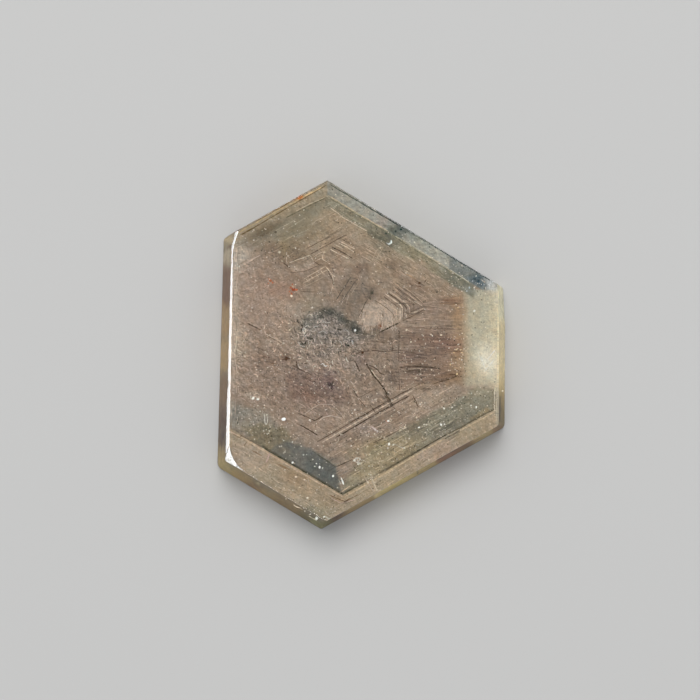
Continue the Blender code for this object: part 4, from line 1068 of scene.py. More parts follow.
# Specks: u, v, radius, tone. The brightest lie on the face, the others in it.
WHITE, WARM, RUST = (246, 244, 234), (226, 210, 182), (150, 66, 36)
SPECKS = (
    (283.6, 419.2, 2.0, (255, 254, 250)), (253.2, 398.2, 1.5, WHITE), (257.8, 399.2, 1.4, WHITE),
    (251, 398.6, 0.8, WARM), (268, 394.8, 0.8, WARM), (279.5, 252.2, 1.3, (222, 210, 186)),
    (324.6, 252.2, 0.9, WARM), (239.2, 266.4, 0.9, WHITE), (293, 286.6, 1.0, (226, 196, 164)),
    (291.5, 296, 1.3, (238, 222, 196)), (247.5, 296.4, 0.9, WARM), (282, 261, 0.8, WARM),
    (296, 240.2, 0.6, WARM), (289.6, 330, 1.1, WARM), (291, 328.4, 0.7, WARM),
    (305, 305.6, 0.6, WARM), (355.2, 330.4, 1.2, (240, 240, 236)), (406.6, 330, 1.1, WARM),
    (411, 342, 0.9, WARM), (441.2, 335, 1.0, WARM), (431, 334.4, 0.8, WARM), (434, 326, 0.6, WARM),
    (456.6, 349.4, 1.0, (232, 206, 164)), (466, 350.4, 0.8, WARM), (462, 352.4, 0.8, (226, 190, 140)),
    (474.4, 310.8, 1.2, WHITE), (458, 307.6, 0.8, (226, 190, 140)), (431.6, 295, 0.7, WARM),
    (424.6, 320.6, 0.7, WARM), (407, 271.4, 0.8, WARM), (380.4, 248, 1.0, WARM), (385.6, 259, 0.8, WARM),
    (401.6, 226.6, 0.7, (170, 178, 176)), (476.2, 407.2, 1.1, WHITE), (471, 405.4, 0.8, WHITE),
    (444, 408.4, 1.0, WHITE), (452, 407.4, 0.8, WHITE), (444, 402, 0.8, WARM), (416.6, 417.6, 0.9, WARM),
    (420.6, 406.4, 0.7, WARM), (388.2, 421, 1.2, WHITE), (390.6, 421.6, 0.7, WARM), (441, 424.6, 1.2, WHITE),
    (444.4, 424.2, 0.8, WHITE), (419, 427.4, 1.0, WHITE), (404.6, 427, 1.0, WARM), (400, 430.2, 0.7, WARM),
    (319.6, 467.2, 1.3, WHITE), (316.4, 463.6, 0.7, WHITE), (333, 476, 1.2, WHITE),
    (296, 477, 1.2, (226, 206, 182)), (304.4, 479.8, 1.0, (226, 206, 182)), (292.6, 462.6, 1.1, WHITE),
    (307.4, 498, 1.2, (222, 212, 190)), (299.6, 487.4, 0.8, WARM), (316.4, 518.6, 1.0, WHITE),
    (324, 516.8, 1.0, WHITE), (249.6, 455.8, 1.0, WARM), (269.4, 431, 1.0, (214, 208, 188)),
    (266.4, 429.6, 0.7, (206, 200, 180)), (292.4, 442, 0.9, (206, 204, 192)), (283.6, 440.6, 0.8, (206, 204, 192)),
    (303.6, 455, 0.8, (196, 196, 186)), (306.6, 454.6, 0.6, (196, 196, 186)), (322.6, 468, 0.6, WHITE),
    (457, 374, 1.2, (228, 198, 150)), (450.4, 364.6, 0.9, (226, 196, 148)), (454, 352.6, 0.8, (226, 196, 148)),
    (460.6, 349.8, 0.9, (232, 210, 170)), (431.6, 369.8, 0.9, WARM), (416, 378, 0.9, WARM), (405, 355.4, 0.7, WARM),
    (469.4, 287.6, 1.0, (214, 222, 222)), (472.6, 281, 0.7, (200, 210, 214)), (466.8, 291, 0.9, (210, 216, 214)),
    (479.4, 283.4, 0.7, (190, 202, 210)), (484, 284.4, 0.7, (196, 206, 212)), (474.4, 289.6, 0.6, (206, 212, 212)),
    (452, 283.6, 0.7, (176, 174, 154)), (459.6, 287, 0.7, (184, 182, 164)), (361.4, 217.4, 0.7, (176, 170, 146)),
    (375, 429.6, 1.6, (206, 188, 178)), (372.4, 427.4, 1.3, (204, 186, 176)), (377.4, 431.4, 1.2, (206, 190, 180)),
    (389, 444, 1.3, WHITE), (393.4, 444.8, 1.0, (224, 218, 200)), (404.2, 448, 0.9, (224, 218, 200)),
    (354.4, 460.4, 1.4, (226, 220, 204)), (358.2, 464, 1.2, (222, 214, 198)), (361.4, 463.4, 0.9, WARM),
    (350.6, 438.6, 0.9, WARM), (356, 440, 0.7, WARM), (460.4, 430.2, 0.8, (226, 208, 180)),
    (368, 482.4, 1.2, (226, 214, 190)), (366.4, 486, 0.8, (222, 208, 184)), (378.6, 474.4, 0.8, WARM),
    (495.4, 389, 1.2, (232, 222, 190)), (502.6, 391, 0.9, (226, 214, 184)), (490, 424, 0.8, WARM),
    (471.6, 393.4, 0.8, (214, 214, 198)), (463.4, 397.4, 0.8, (214, 214, 198)), (455.4, 444, 0.7, WARM),
    # rust and hematite
    (293.4, 289.4, 2.0, (134, 66, 46)), (296.4, 289.8, 1.4, (160, 84, 58)), (290.8, 287.6, 1.2, (160, 88, 62)),
    (291.6, 293.6, 1.2, (164, 92, 66)), (292.4, 284.4, 0.9, (150, 88, 64)), (289.6, 291.4, 0.8, (166, 98, 74)),
    (270.4, 280.6, 1.6, (156, 92, 66)), (272.6, 282.6, 1.1, (164, 98, 72)), (269, 278.8, 0.9, (168, 108, 84)),
    (268.2, 283.4, 0.7, (176, 100, 72)), (380.4, 326.2, 1.1, (128, 80, 56)), (378.8, 328, 0.7, (120, 78, 56)),
    (372, 293, 1.7, (76, 70, 62)), (370.2, 298.6, 1.3, (84, 76, 66)), (275.6, 232.2, 1.4, (88, 78, 66)),
    (262.4, 235.6, 1.3, (92, 80, 66)), (266.8, 233.4, 0.9, (96, 84, 70)), (286.4, 358.6, 1.9, (72, 50, 42)),
    (329.4, 383.4, 1.8, (84, 68, 68)), (332, 386.6, 1.4, (80, 64, 64)), (335.4, 372, 1.2, (92, 76, 72)),
    (227.4, 435.6, 0.7, (70, 60, 50)), (401, 229.4, 1.2, (46, 50, 50)), (395.6, 231.4, 1.1, (58, 62, 58)),
    (404, 227.4, 0.9, (40, 44, 46)), (386, 233.4, 1.2, (66, 70, 62)), (419.4, 283, 1.4, (80, 56, 42)),
    (478.4, 281.4, 1.5, (58, 68, 78)), (474, 278.6, 1.2, (70, 78, 84)), (482.4, 284.6, 1.2, (74, 86, 98)),
    (309.4, 312, 1.0, (84, 82, 76)), (356.8, 333.6, 0.9, (62, 60, 56)), (345.6, 345, 0.9, (88, 82, 74)),
    (300.6, 344, 0.9, (86, 80, 74)), (222.2, 404, 0.0, DARK),
)


def speck_density(u, v):
    d = 0.30 + 0.0 * u
    d += 0.9 * soft(poly_sd(u, v, ((229, 405), (274, 405), (300, 440), (270, 442), (229, 430))), 4)
    d += 0.9 * soft(poly_sd(u, v, ((430, 332), (466, 332), (464, 378), (436, 386))), 5)
    d += 0.7 * soft(poly_sd(u, v, ((350, 402), (494, 388), (494, 410), (352, 488))), 5)
    d += 0.5 * soft(poly_sd(u, v, ((232, 320), (300, 330), (330, 400), (240, 402))), 6)
    d += 0.5 * soft(poly_sd(u, v, ((399, 330), (430, 330), (430, 392), (399, 396))), 5)
    d += 0.8 * soft(poly_sd(u, v, ((300, 505), (340, 505), (321, 526))), 4)
    d += 0.5 * soft(poly_sd(u, v, ((262, 240), (300, 240), (300, 266), (270, 266))), 4)
    d += 0.9 * soft(poly_sd(u, v, ((444, 270), (488, 276), (486, 292), (456, 290))), 3)
    return d


def grains(name, rows, z, high, rng, reflectance):
    """Tiny closed bipyramids: u, v, radius, tone; z and half height in mm."""
    u, v, r = (np.array([s[k] for s in rows], float) for k in range(3))
    x, y = np.empty(len(rows)), np.empty(len(rows))
    for k in range(len(rows)):
        px, py = place(u[k], v[k], z if z > THICKNESS else THICKNESS - 0.12)
        x[k], y[k] = px[0], py[0]
    r = r * UNIT
    turned = rng.rand(len(rows)) * math.pi
    stretch = 0.75 + 0.5 * rng.rand(len(rows))
    pts = []
    flat = [(math.cos(k * math.pi / 3), math.sin(k * math.pi / 3), 0) for k in range(6)]
    for dx, dy, dz in flat + [(0, 0, 1), (0, 0, -1)]:
        a, b = dx * stretch, dy / stretch
        pts.append(np.stack([x + r * (a * np.cos(turned) - b * np.sin(turned)),
                             y + r * (a * np.sin(turned) + b * np.cos(turned)),
                             z + np.minimum(high, 0.4 * r) * dz], 1))
    verts = np.stack(pts, 1).reshape(-1, 3)
    tri = np.array([(k, (k + 1) % 6, 6) for k in range(6)] +
                   [((k + 1) % 6, k, 7) for k in range(6)])
    faces = (np.arange(len(rows))[:, None, None] * 8 + tri[None]).reshape(-1, 3)
    obj = new_mesh(name, verts, [faces], False)
    tone = np.repeat(np.array([s[3] for s in rows], float), 8, axis=0)
    colour_layer(obj.data, "zone", reflectance(tone))
    return obj


def scatter(rng, count):
    """Places inside the face, as thick as the speck density there."""
    u, v = 232 + 266 * rng.rand(count * 12), 186 + 340 * rng.rand(count * 12)
    ok = (poly_sd(u, v, FACE) < -2.0) & (rng.rand(count * 12) * 1.5 < speck_density(u, v))
    return u[ok][:count], v[ok][:count]


def build_specks():
    """Sealed inclusions: fluid specks, iron grains."""
    rng = np.random.RandomState(23)
    rows = [s for s in SPECKS if s[2] > 0 and sum(s[3]) <= 560]
    u, v = scatter(rng, 1900)
    here = paint(u, v)
    for k in range(len(u)):
        if rng.rand() < 0.6:
            tone = here[k] + (np.array((236, 224, 202)) - here[k]) * (0.35 + 0.6 * rng.rand())
            rows.append((u[k], v[k], 0.35 + 0.4 * rng.rand(), tuple(tone)))
        else:
            rows.append((u[k], v[k], 0.35 + 0.5 * rng.rand(),
                         tuple(here[k] * (0.5 + 0.28 * rng.rand()))))
    return grains("inclusions", rows, THICKNESS - GAP_TOP + 0.004, 0.012, rng, to_albedo)


def build_dust():
    """Bright grains of dust on the polished face."""
    rng = np.random.RandomState(29)
    rows = [s for s in SPECKS if sum(s[3]) > 560]
    u, v = scatter(rng, 400)
    for k in range(len(u)):
        w = rng.rand()
        tone = (178 + 64 * w, 162 + 74 * w, 140 + 84 * w)
        rows.append((u[k], v[k], 0.32 + 0.65 * rng.rand() ** 2.5, tone))
    return grains("surface_dust", rows, THICKNESS + 0.004, 0.018, rng, to_dust)


# ============================================================ inner zones
def lattice(ring, h):
    """Triangular lattice filling a convex outline; its edge points sit on it.

    Returns points (n, 2), triangles (m, 3) and the edge loop in order.
    """
    lo, hi = ring.min(0) - 2 * h, ring.max(0) + 2 * h
    rows = int((hi[1] - lo[1]) / (h * math.sqrt(3) / 2)) + 1
    cols = int((hi[0] - lo[0]) / h) + 1
    jj, ii = np.meshgrid(np.arange(rows), np.arange(cols), indexing="ij")
    x = lo[0] + (ii + 0.5 * (jj % 2)) * h
    y = lo[1] + jj * h * math.sqrt(3) / 2
    x, y = x.ravel(), y.ravel()
    sd = poly_sd(x, y, [tuple(p) for p in ring])
    inside = sd < -0.35 * h
    idx = (jj * cols + ii)
    a, b = idx[:-1, :-1], idx[:-1, 1:]
    c, d = idx[1:, :-1], idx[1:, 1:]
    even = (jj[:-1, :-1] % 2 == 0)
    t1 = np.where(even[..., None], np.stack([a, b, c], -1), np.stack([a, b, d], -1))
    t2 = np.where(even[..., None], np.stack([b, d, c], -1), np.stack([a, d, c], -1))
    tris = np.concatenate([t1.reshape(-1, 3), t2.reshape(-1, 3)])
    tris = tris[inside[tris].any(1)]
    # outside points move onto the outline
    used = np.unique(tris)
    out = used[~inside[used]]
    p = np.stack([x, y], 1)
    q = p[out]
    best = np.full(len(out), 1e9)
    snap = q.copy()
    n = len(ring)
    for k in range(n):
        s, e = ring[k], ring[(k + 1) % n]
        v = e - s
        t = np.clip(((q - s) @ v) / (v @ v), 0, 1)
        near = s + t[:, None] * v
        dist = ((q - near) ** 2).sum(1)
        m = dist < best
        best = np.where(m, dist, best)
        snap[m] = near[m]
    p[out] = snap
    remap = np.full(len(p), -1)
    remap[used] = np.arange(len(used))
    p, tris = p[used], remap[tris]
    # drop slivers with no area, then read the edge loop
    e1, e2 = p[tris[:, 1]] - p[tris[:, 0]], p[tris[:, 2]] - p[tris[:, 0]]
    area = e1[:, 0] * e2[:, 1] - e1[:, 1] * e2[:, 0]
    tris = np.where((area < 0)[:, None], tris[:, ::-1], tris)
    edges = np.concatenate([tris[:, [0, 1]], tris[:, [1, 2]], tris[:, [2, 0]]])
    key = np.sort(edges, 1)
    key = key[:, 0] * len(p) + key[:, 1]
    _, first, count = np.unique(key, return_index=True, return_counts=True)
    rim = edges[first[count == 1]]
    nxt = dict(zip(rim[:, 0].tolist(), rim[:, 1].tolist()))
    start = rim[0, 0]
    loop, at = [int(start)], nxt[int(start)]
    while at != start and len(loop) <= len(rim):
        loop.append(at)
        at = nxt[at]
    return p, tris, np.array(loop)


def along_ring(ring, pts):
    """For points on a ring: segment index and fraction."""
    n = len(ring)
    best = np.full(len(pts), 1e9)
    seg = np.zeros(len(pts), int)
    frac = np.zeros(len(pts))
    for k in range(n):
        s, e = ring[k], ring[(k + 1) % n]
        v = e - s
        t = np.clip(((pts - s) @ v) / (v @ v), 0, 1)
        d = ((s + t[:, None] * v - pts) ** 2).sum(1)
        m = d < best
        best = np.where(m, d, best)
        seg[m], frac[m] = k, t[m]
    return seg, frac


def on_ring(ring, seg, frac):
    a, b = ring[seg], ring[(seg + 1) % len(ring)]
    return a + (b - a) * frac[:, None]


GAP_TOP, GAP_SIDE, GAP_FOOT = 0.20, 0.045, 0.10


def ring_inset(rise, more):
    return [f[2] * rise + more + (f[3] * 0.6 if rise > 0.99 else 0.0) for f in FACES]


def build_zones():
    """The silk-clouded growth zones, sealed a little under the polish."""
    h = 0.0685
    steps = dict(corner_steps=8, side_steps=8)
    shoulder = 0.03
    z_top = THICKNESS - GAP_TOP
    top_ring = plan_ring(ring_inset(1.0, GAP_SIDE + shoulder), 1.0, **steps) - SHIFT
    p, tris, loop = lattice(top_ring, h)
    seg, frac = along_ring(top_ring, p[loop])
    z = np.full(len(p), z_top)
    z += relief(p[:, 0], p[:, 1])
    verts = [np.column_stack([p, z])]
    faces = [tris]
    prev = loop
    base = len(p)
    levels = []
    for k in range(1, 3):               # rounded shoulder
        a = k / 2 * math.pi / 2
        levels.append((z_top - shoulder * (1 - math.cos(a)),
                       GAP_SIDE + shoulder * (1 - math.sin(a)), 1.0))
    for k in range(1, 5):               # wall
        t = k / 4
        zz = (z_top - shoulder) * (1 - t) + (GAP_FOOT + 0.06) * t
        levels.append((zz, GAP_SIDE, zz / (THICKNESS - RIM_DROP)))
    levels.append((GAP_FOOT, GAP_SIDE + 0.06, 0.0))
    for zz, inset, rise in levels:
        ring = plan_ring(ring_inset(rise, inset), rise, **steps) - SHIFT
        q = on_ring(ring, seg, frac)
        verts.append(np.column_stack([q, np.full(len(q), zz)]))
        now = base + np.arange(len(q))
        base += len(q)
        n = len(q)
        k = np.arange(n)
        m = (k + 1) % n
        faces.append(np.stack([now[k], now[m], prev[m], prev[k]], 1))
        prev = now
    q = verts[-1][:, :2]
    for t in (0.97, 0.8, 0.45):
        verts.append(np.column_stack([q * t, np.full(len(q), GAP_FOOT)]))
        now = base + np.arange(len(q))
        base += len(q)
        n = len(q)
        k = np.arange(n)
        m = (k + 1) % n
        faces.append(np.stack([now[k], now[m], prev[m], prev[k]], 1))
        prev = now
    verts.append(np.array([[0.0, 0.0, GAP_FOOT]]))
    n = len(q)
    k = np.arange(n)
    faces.append(np.stack([np.full(n, base), prev[(k + 1) % n], prev[k]], 1))
    verts = np.concatenate(verts)
    obj = new_mesh("growth_zones", verts, faces)
    obj.data.shade_smooth()
    x, y, z = verts[:, 0], verts[:, 1], verts[:, 2]
    colour_layer(obj.data, "zone", zone_reflectance(x, y, z), crumple(*chart(x, y)))
    return obj


def relief(x, y):
    return 0.0 * x


def zone_reflectance(x, y, z):
    # below the shoulder the walls carry on the zones that reach them
    top = z > THICKNESS - GAP_TOP - 0.02
    near = np.where(top, 1.0, 0.985)
    u, v = chart(x * near, y * near)
    rgb = 0.977 * fine_texture(u, v, paint(u, v))
    return to_albedo(rgb)


# ============================================================ skin
def build_skin():
    step = 0.11
    base = plan_ring(flare_at(0.5), 0.5, corner_steps=1, side_steps=1)
    sides = []
    for i in range(len(FACES)):
        a, b = base[2 * i + 1], base[(2 * i + 2) % len(base)]
        sides.append(max(2, int(np.hypot(*(b - a)) / step)))
    cs = 14
    foot, brow, z_brow, inner, flat = rim_rings(sides, cs)
    sole = plan_ring([ARRIS_IN] * len(FACES), 0.0, corner_steps=cs, side_steps=sides)
    foot, brow, inner, sole = foot - SHIFT, brow - SHIFT, inner - SHIFT, sole - SHIFT
    # hand polishing leaves the bevel slightly uneven, the facet pitted
    u, v = chart(brow[:, 0], brow[:, 1])
    facet = np.clip(1 - np.hypot(u - 228, v - 461) / 13.0, 0, 1)
    nick = 0.004 * noise(v / 5.0, u / 5.0, 401) + 0.014 * (noise(v / 2.2, u / 2.2, 402) > 0.62)
    z_brow = z_brow + flat * (nick + 0.010 * facet * noise(v / 1.6, u / 1.6, 403))
    low = ARRIS_RISE
    rings = [(0.0, sole * 0.96), (0.0, sole * 0.996), (0.0, sole),
             (low * 0.35, sole + (foot - sole) * 0.68)]
    levels = 22
    first_wall = len(rings) - 1
    for k in range(levels + 1):
        t = k / levels
        rings.append((low + (z_brow - low) * t, foot + (brow - foot) * t))
    last_wall = len(rings) - 1
    for k in range(1, 9):
        t = k / 8
        a = math.pi / 2 * t
        go = (1 - math.cos(a)) * (1 - flat) + t * flat
        up = math.sin(a) * (1 - flat) + (t + 0.06 * t * (1 - t)) * flat
        rings.append((z_brow + (THICKNESS - z_brow) * up,
                      brow + (inner - brow) * go[:, None]))
    for t in (0.999, 0.995, 0.96):
        rings.append((THICKNESS, inner * t))
    verts, faces = loft(rings)
    n = len(rings[0][1])
    obj = new_mesh("polished_crystal", verts, faces, smooth=None)
    obj.data.shade_smooth()
    obj.data.set_sharp_from_angle(angle=math.radians(18))
    # the side walls are the crystal's own faces, left unpolished
    wall = np.zeros(len(obj.data.polygons), np.int32)
    wall[first_wall * n:last_wall * n] = 1
    x, y, z = verts[:, 0], verts[:, 1], verts[:, 2]
    u, v = chart(x, y, z)
    # the facet at the lower left corner is ground, not polished; its frosted white is partly a painted glint of the
    # bevel light
    start = sum(cs + k for k in sides[:LEFT])
    for lv in range(last_wall, last_wall + 8):
        wall[lv * n + start + 1:lv * n + start + cs + 1] = 2
    obj.data.polygons.foreach_set("material_index", wall)
    rgb, clear = wall_tone(u, v, z)
    colour_layer(obj.data, "wall", rgb)
    value_layer(obj.data, "clear", clear)
    return obj


# How a side face's tone in daylight follows its own reflectance: slope, floor.
SIDE_LIGHT = {"L": (0.47, 0.07), "LL": (0.39, 0.05), "LR": (0.32, 0.05),
              "R": (0.53, 0.05)}


def wall_tone(u, v, z):
    """Reflectance and clearness of the side walls, laid out in chart units."""
    c = np.zeros(u.shape + (3,)) + (0.255, 0.212, 0.142)
    clear = np.full(u.shape, 0.15)
    n1 = fbm(u / 9 + 0.55 * z, v / 9 - 0.8 * z, 3, 301)
    n2 = fbm(u / 3.2, v / 3.2 + z * 2, 3, 311)
    n3 = noise(u / 1.6, v / 1.6 + z * 3, 317)
    # stains wander up and down the faces
    n4 = fbm(u / 14 + 1.1 * z, v / 14 + 0.9 * z, 2, 337)
    down = 1 - np.clip(z / THICKNESS, 0, 1)

    def span(face, pts, half, col, s=2.5, op=0.95, see=None, low=None):
        nonlocal c, clear
        gain, gloss = SIDE_LIGHT[face]
        albedo = np.clip((to_linear(col) - gloss) / gain, 0.02, 0.90)
        albedo = np.maximum(albedo, np.array((0.0, 0.50, 0.30)) * albedo.max())
        wander = min(half / 6, 1) * down          # broad stains stray most
        sway = 0.8 * n1 + (13.0 * n4 + 3.0 * n2) * wander
        d, _ = line_d(u + sway, v + sway, pts)
        m = soft(d - half, s * (1 + 0.6 * min(half / 6, 1) + 2.0 * wander)) * op * (1 - 0.2 * wander * (see is None))
        if low is not None:
            m = m * soft(low - z, 0.35)
        c = c + (albedo - c) * m[..., None]
        if see is not None:
            clear = clear + (see - clear) * m

    # left face, top to bottom
    span("L", [(222, 238), (231, 240)], 4, (158, 146, 124), 3)
    span("L", [(225, 254), (225, 262)], 6, (163, 154, 138))
    span("L", [(224, 272), (224, 303)], 7, (115, 91, 70))
    span("L", [(223, 312), (223, 330)], 7, (148, 128, 103))
    span("L", [(223, 345), (222, 366)], 7, (152, 133, 107))
    span("L", [(222, 382), (221, 400)], 7, (120, 104, 86))
    span("L", [(221, 410), (220, 420)], 7, (104, 88, 70))
    span("L", [(220, 424), (220, 442)], 7, (97, 66, 46))
    span("L", [(218, 424), (222, 436)], 3, (82, 66, 52), 2.0, 0.6, low=1.2)
    span("L", [(219, 453), (221, 462)], 6, (140, 126, 100))
    span("L", [(223, 251), (231, 246)], 0.9, (104, 80, 54), 1.2, 0.9, low=1.2)
    span("L", [(221.6, 352.4), (221.9, 353.4)], 1.2, (132, 86, 58), 1.0, 0.9, low=1.7)
    # lower left
    span("LL", [(222, 468), (232, 474)], 6, (138, 128, 98))
    span("LL", [(236, 476), (246, 481)], 6, (132, 116, 84))
    span("LL", [(252, 487), (260, 491)], 4, (117, 100, 74), 2.5)
    span("LL", [(262, 493), (272, 498)], 5, (134, 120, 96))
    span("LL", [(276, 500), (298, 512)], 6, (118, 104, 84))
    span("LL", [(302, 516), (310, 521)], 4, (96, 92, 78))
    span("LL", [(257.5, 483), (258.5, 484)], 0.9, (160, 150, 120), 1.2, 0.7)
    span("LL", [(314, 522), (322, 527)], 3, (112, 112, 92), 2.0)
    # lower right
    span("LR", [(322, 527), (331, 522)], 4, (92, 90, 74), 2.0)
    span("LR", [(336, 519), (344, 515)], 5, (84, 66, 42), 2.0)
    span("LR", [(350, 512), (373, 499)], 6, (122, 108, 82))
    span("LR", [(376, 496), (378, 494)], 2, (164, 146, 124), 1.2, 0.8)
    span("LR", [(382, 493), (410, 477)], 6, (148, 136, 102))
    span("LR", [(414, 476), (434, 465)], 6, (139, 126, 98))
    span("LR", [(417, 470), (419, 478)], 0.6, (66, 55, 42), 0.9, 0.9, low=0.9)
    span("LR", [(440, 461), (456, 452)], 4, (112, 80, 48), 1.6, 0.95)
    span("LR", [(438, 459), (445, 454), (456, 450)], 0.9, (52, 41, 32), 1.0, 1.0, low=2.0)
    span("LR", [(460, 450), (474, 442)], 5, (101, 87, 71), 2.5)
    span("LR", [(478, 440), (492, 432)], 5, (132, 120, 96), 2.5)
    span("LR", [(496, 430), (503, 427)], 3, (110, 90, 70), 2.0)
    # right: the cream on most of this face is painted light coming through the crystal
    span("R", [(502, 288), (503, 318)], 6, (199, 189, 167), see=0.02)
    span("R", [(503, 326), (502, 364)], 6, (194, 181, 151), see=0.02)
    span("R", [(503, 370), (502, 386)], 6, (190, 177, 144), see=0.02)
    span("R", [(502, 389), (502, 393)], 6, (166, 150, 116), 4.0, see=0.04)
    span("R", [(502, 398), (502, 408)], 6, (140, 126, 98), 4.0, see=0.05)
    span("R", [(502, 413), (502, 424)], 6, (112, 102, 82), 4.0, see=0.05)
    span("R", [(500, 397), (500, 421)], 0.8, (74, 60, 44), 1.0, 0.8)
    # upper right and upper left
    span("L", [(330, 183), (388, 218)], 5, (138, 135, 120), 5)
    span("L", [(392, 220), (405, 228)], 5, (112, 112, 100), 5)
    span("L", [(410, 231), (445, 253)], 5, (136, 137, 124), 5)
    span("L", [(448, 255), (487, 279)], 5, (118, 121, 115), 5)
    span("L", [(280, 206), (320, 184)], 5, (146, 130, 104), 5)
    span("L", [(240, 229), (272, 211)], 5, (128, 110, 86), 5)
    c = c * (1 + 0.12 * n1 + 0.12 * n2 + 0.10 * n3)[..., None]
    # growth striations run along the walls
    bands = noise(z * 5.0 + 0.6 * n1, 0.02 * u, 331)
    c = c * (1 + 0.09 * bands + 0.14 * n4 * (0.4 + down))[..., None]
    clear = np.clip(clear * (1 + 0.8 * n1 + 0.5 * n2), 0.0, 0.5)
    return np.clip(c, 0.004, 0.97), clear


# ============================================================ materials
def material(name):
    mat = bpy.data.materials.new(name)
    mat.use_nodes = True
    nt = mat.node_tree
    return mat, nt, nt.nodes["Principled BSDF"]


def link(nt, a, b):
    nt.links.new(a, b)


ABSORB_COLOUR, ABSORB_DENSITY = (0.78, 0.70, 0.50, 1.0), 60.0


def absorb(nt):
    node = nt.nodes.new("ShaderNodeVolumeAbsorption")
    node.inputs["Color"].default_value = ABSORB_COLOUR
    node.inputs["Density"].default_value = ABSORB_DENSITY
    link(nt, node.outputs["Volume"], nt.nodes["Material Output"].inputs["Volume"])


def noise_node(nt, scale, detail=3.0, rough=0.55, coords=None, stretch=None):
    """Noise in the object's own space, scale in cycles per mm."""
    if coords is None:
        tex = nt.nodes.new("ShaderNodeTexCoord")
        coords = tex.outputs["Object"]
    if stretch is not None:
        mp = nt.nodes.new("ShaderNodeMapping")
        mp.inputs["Rotation"].default_value = stretch[0]
        mp.inputs["Scale"].default_value = stretch[1]
        link(nt, coords, mp.inputs["Vector"])
        coords = mp.outputs["Vector"]
    node = nt.nodes.new("ShaderNodeTexNoise")
    node.inputs["Scale"].default_value = scale * 1000.0
    node.inputs["Detail"].default_value = detail
    node.inputs["Roughness"].default_value = rough
    link(nt, coords, node.inputs["Vector"])
    return node


def spread(nt, socket, lo, hi, out_lo, out_hi):
    node = nt.nodes.new("ShaderNodeMapRange")
    node.inputs["From Min"].default_value = lo
    node.inputs["From Max"].default_value = hi
    node.inputs["To Min"].default_value = out_lo
    node.inputs["To Max"].default_value = out_hi
    link(nt, socket, node.inputs["Value"])
    return node.outputs["Result"]


def crystal_material():
    """Polished corundum: clear, faintly warm, with fine lapping marks."""
    mat, nt, bsdf = material("polished_corundum")
    bsdf.inputs["Base Color"].default_value = (1.0, 1.0, 1.0, 1.0)
    bsdf.inputs["Transmission Weight"].default_value = 1.0
    bsdf.inputs["IOR"].default_value = 1.77
    marks = noise_node(nt, 2.2, 4.0, 0.6)
    link(nt, spread(nt, marks.outputs["Fac"], 0.35, 0.7, 0.03, 0.10), bsdf.inputs["Roughness"])
    absorb(nt)
    return mat


def wall_material():
    """The crystal's own side faces: unpolished, stained, half clear, with painted light on the right face."""
    mat, nt, bsdf = material("natural_faces")
    attr = nt.nodes.new("ShaderNodeAttribute")
    attr.attribute_name = "wall"
    grain = noise_node(nt, 6.0, 5.0, 0.65)
    mix = nt.nodes.new("ShaderNodeMix")
    mix.data_type = "RGBA"
    mix.blend_type = "MULTIPLY"
    mix.inputs["Factor"].default_value = 1.0
    tone = nt.nodes.new("ShaderNodeValToRGB")
    tone.color_ramp.elements[0].position = 0.32
    tone.color_ramp.elements[0].color = (0.70, 0.66, 0.60, 1)
    tone.color_ramp.elements[1].position = 0.68
    tone.color_ramp.elements[1].color = (1.16, 1.14, 1.10, 1)
    link(nt, grain.outputs["Fac"], tone.inputs["Fac"])
    link(nt, attr.outputs["Color"], mix.inputs["A"])
    link(nt, tone.outputs["Color"], mix.inputs["B"])
    link(nt, mix.outputs["Result"], bsdf.inputs["Base Color"])
    clear = nt.nodes.new("ShaderNodeAttribute")
    clear.attribute_name = "clear"
    link(nt, clear.outputs["Fac"], bsdf.inputs["Transmission Weight"])
    bsdf.inputs["IOR"].default_value = 1.77
    bsdf.inputs["Specular IOR Level"].default_value = 0.12
    link(nt, spread(nt, grain.outputs["Fac"], 0.3, 0.7, 0.38, 0.60), bsdf.inputs["Roughness"])
    bump = nt.nodes.new("ShaderNodeBump")
    bump.inputs["Strength"].default_value = 0.5
    bump.inputs["Distance"].default_value = 0.00003
    link(nt, grain.outputs["Fac"], bump.inputs["Height"])
    link(nt, bump.outputs["Normal"], bsdf.inputs["Normal"])
    absorb(nt)
    return mat


def facet_material():
    """The small ground facet: pitted and frosted white, the white partly a painted glint of the bevel light."""
    mat, nt, bsdf = material("ground_facet_and_painted_glint")
    pits = noise_node(nt, 5.5, 4.0, 0.7)
    # painted glint: the frosted white stands partly for the glint of the bevel light
    tone = nt.nodes.new("ShaderNodeValToRGB")
    tone.color_ramp.elements[0].position = 0.38
    tone.color_ramp.elements[0].color = (0.30, 0.29, 0.26, 1)
    tone.color_ramp.elements[1].position = 0.54
    tone.color_ramp.elements[1].color = (0.84, 0.84, 0.81, 1)
    link(nt, pits.outputs["Fac"], tone.inputs["Fac"])
    link(nt, tone.outputs["Color"], bsdf.inputs["Base Color"])
    link(nt, spread(nt, pits.outputs["Fac"], 0.3, 0.7, 0.5, 0.25), bsdf.inputs["Roughness"])
    bsdf.inputs["IOR"].default_value = 1.77
    bump = nt.nodes.new("ShaderNodeBump")
    bump.inputs["Strength"].default_value = 0.4
    bump.inputs["Distance"].default_value = 0.00003
    link(nt, pits.outputs["Fac"], bump.inputs["Height"])
    link(nt, bump.outputs["Normal"], bsdf.inputs["Normal"])
    return mat


GRAIN = 8.0         # cycles per mm of the finest cloudiness
# cycles per mm of the creases, and how strongly their painted light and shade shows
CREASES, CREASE_SHADE_GAIN = 3.4, 3.0


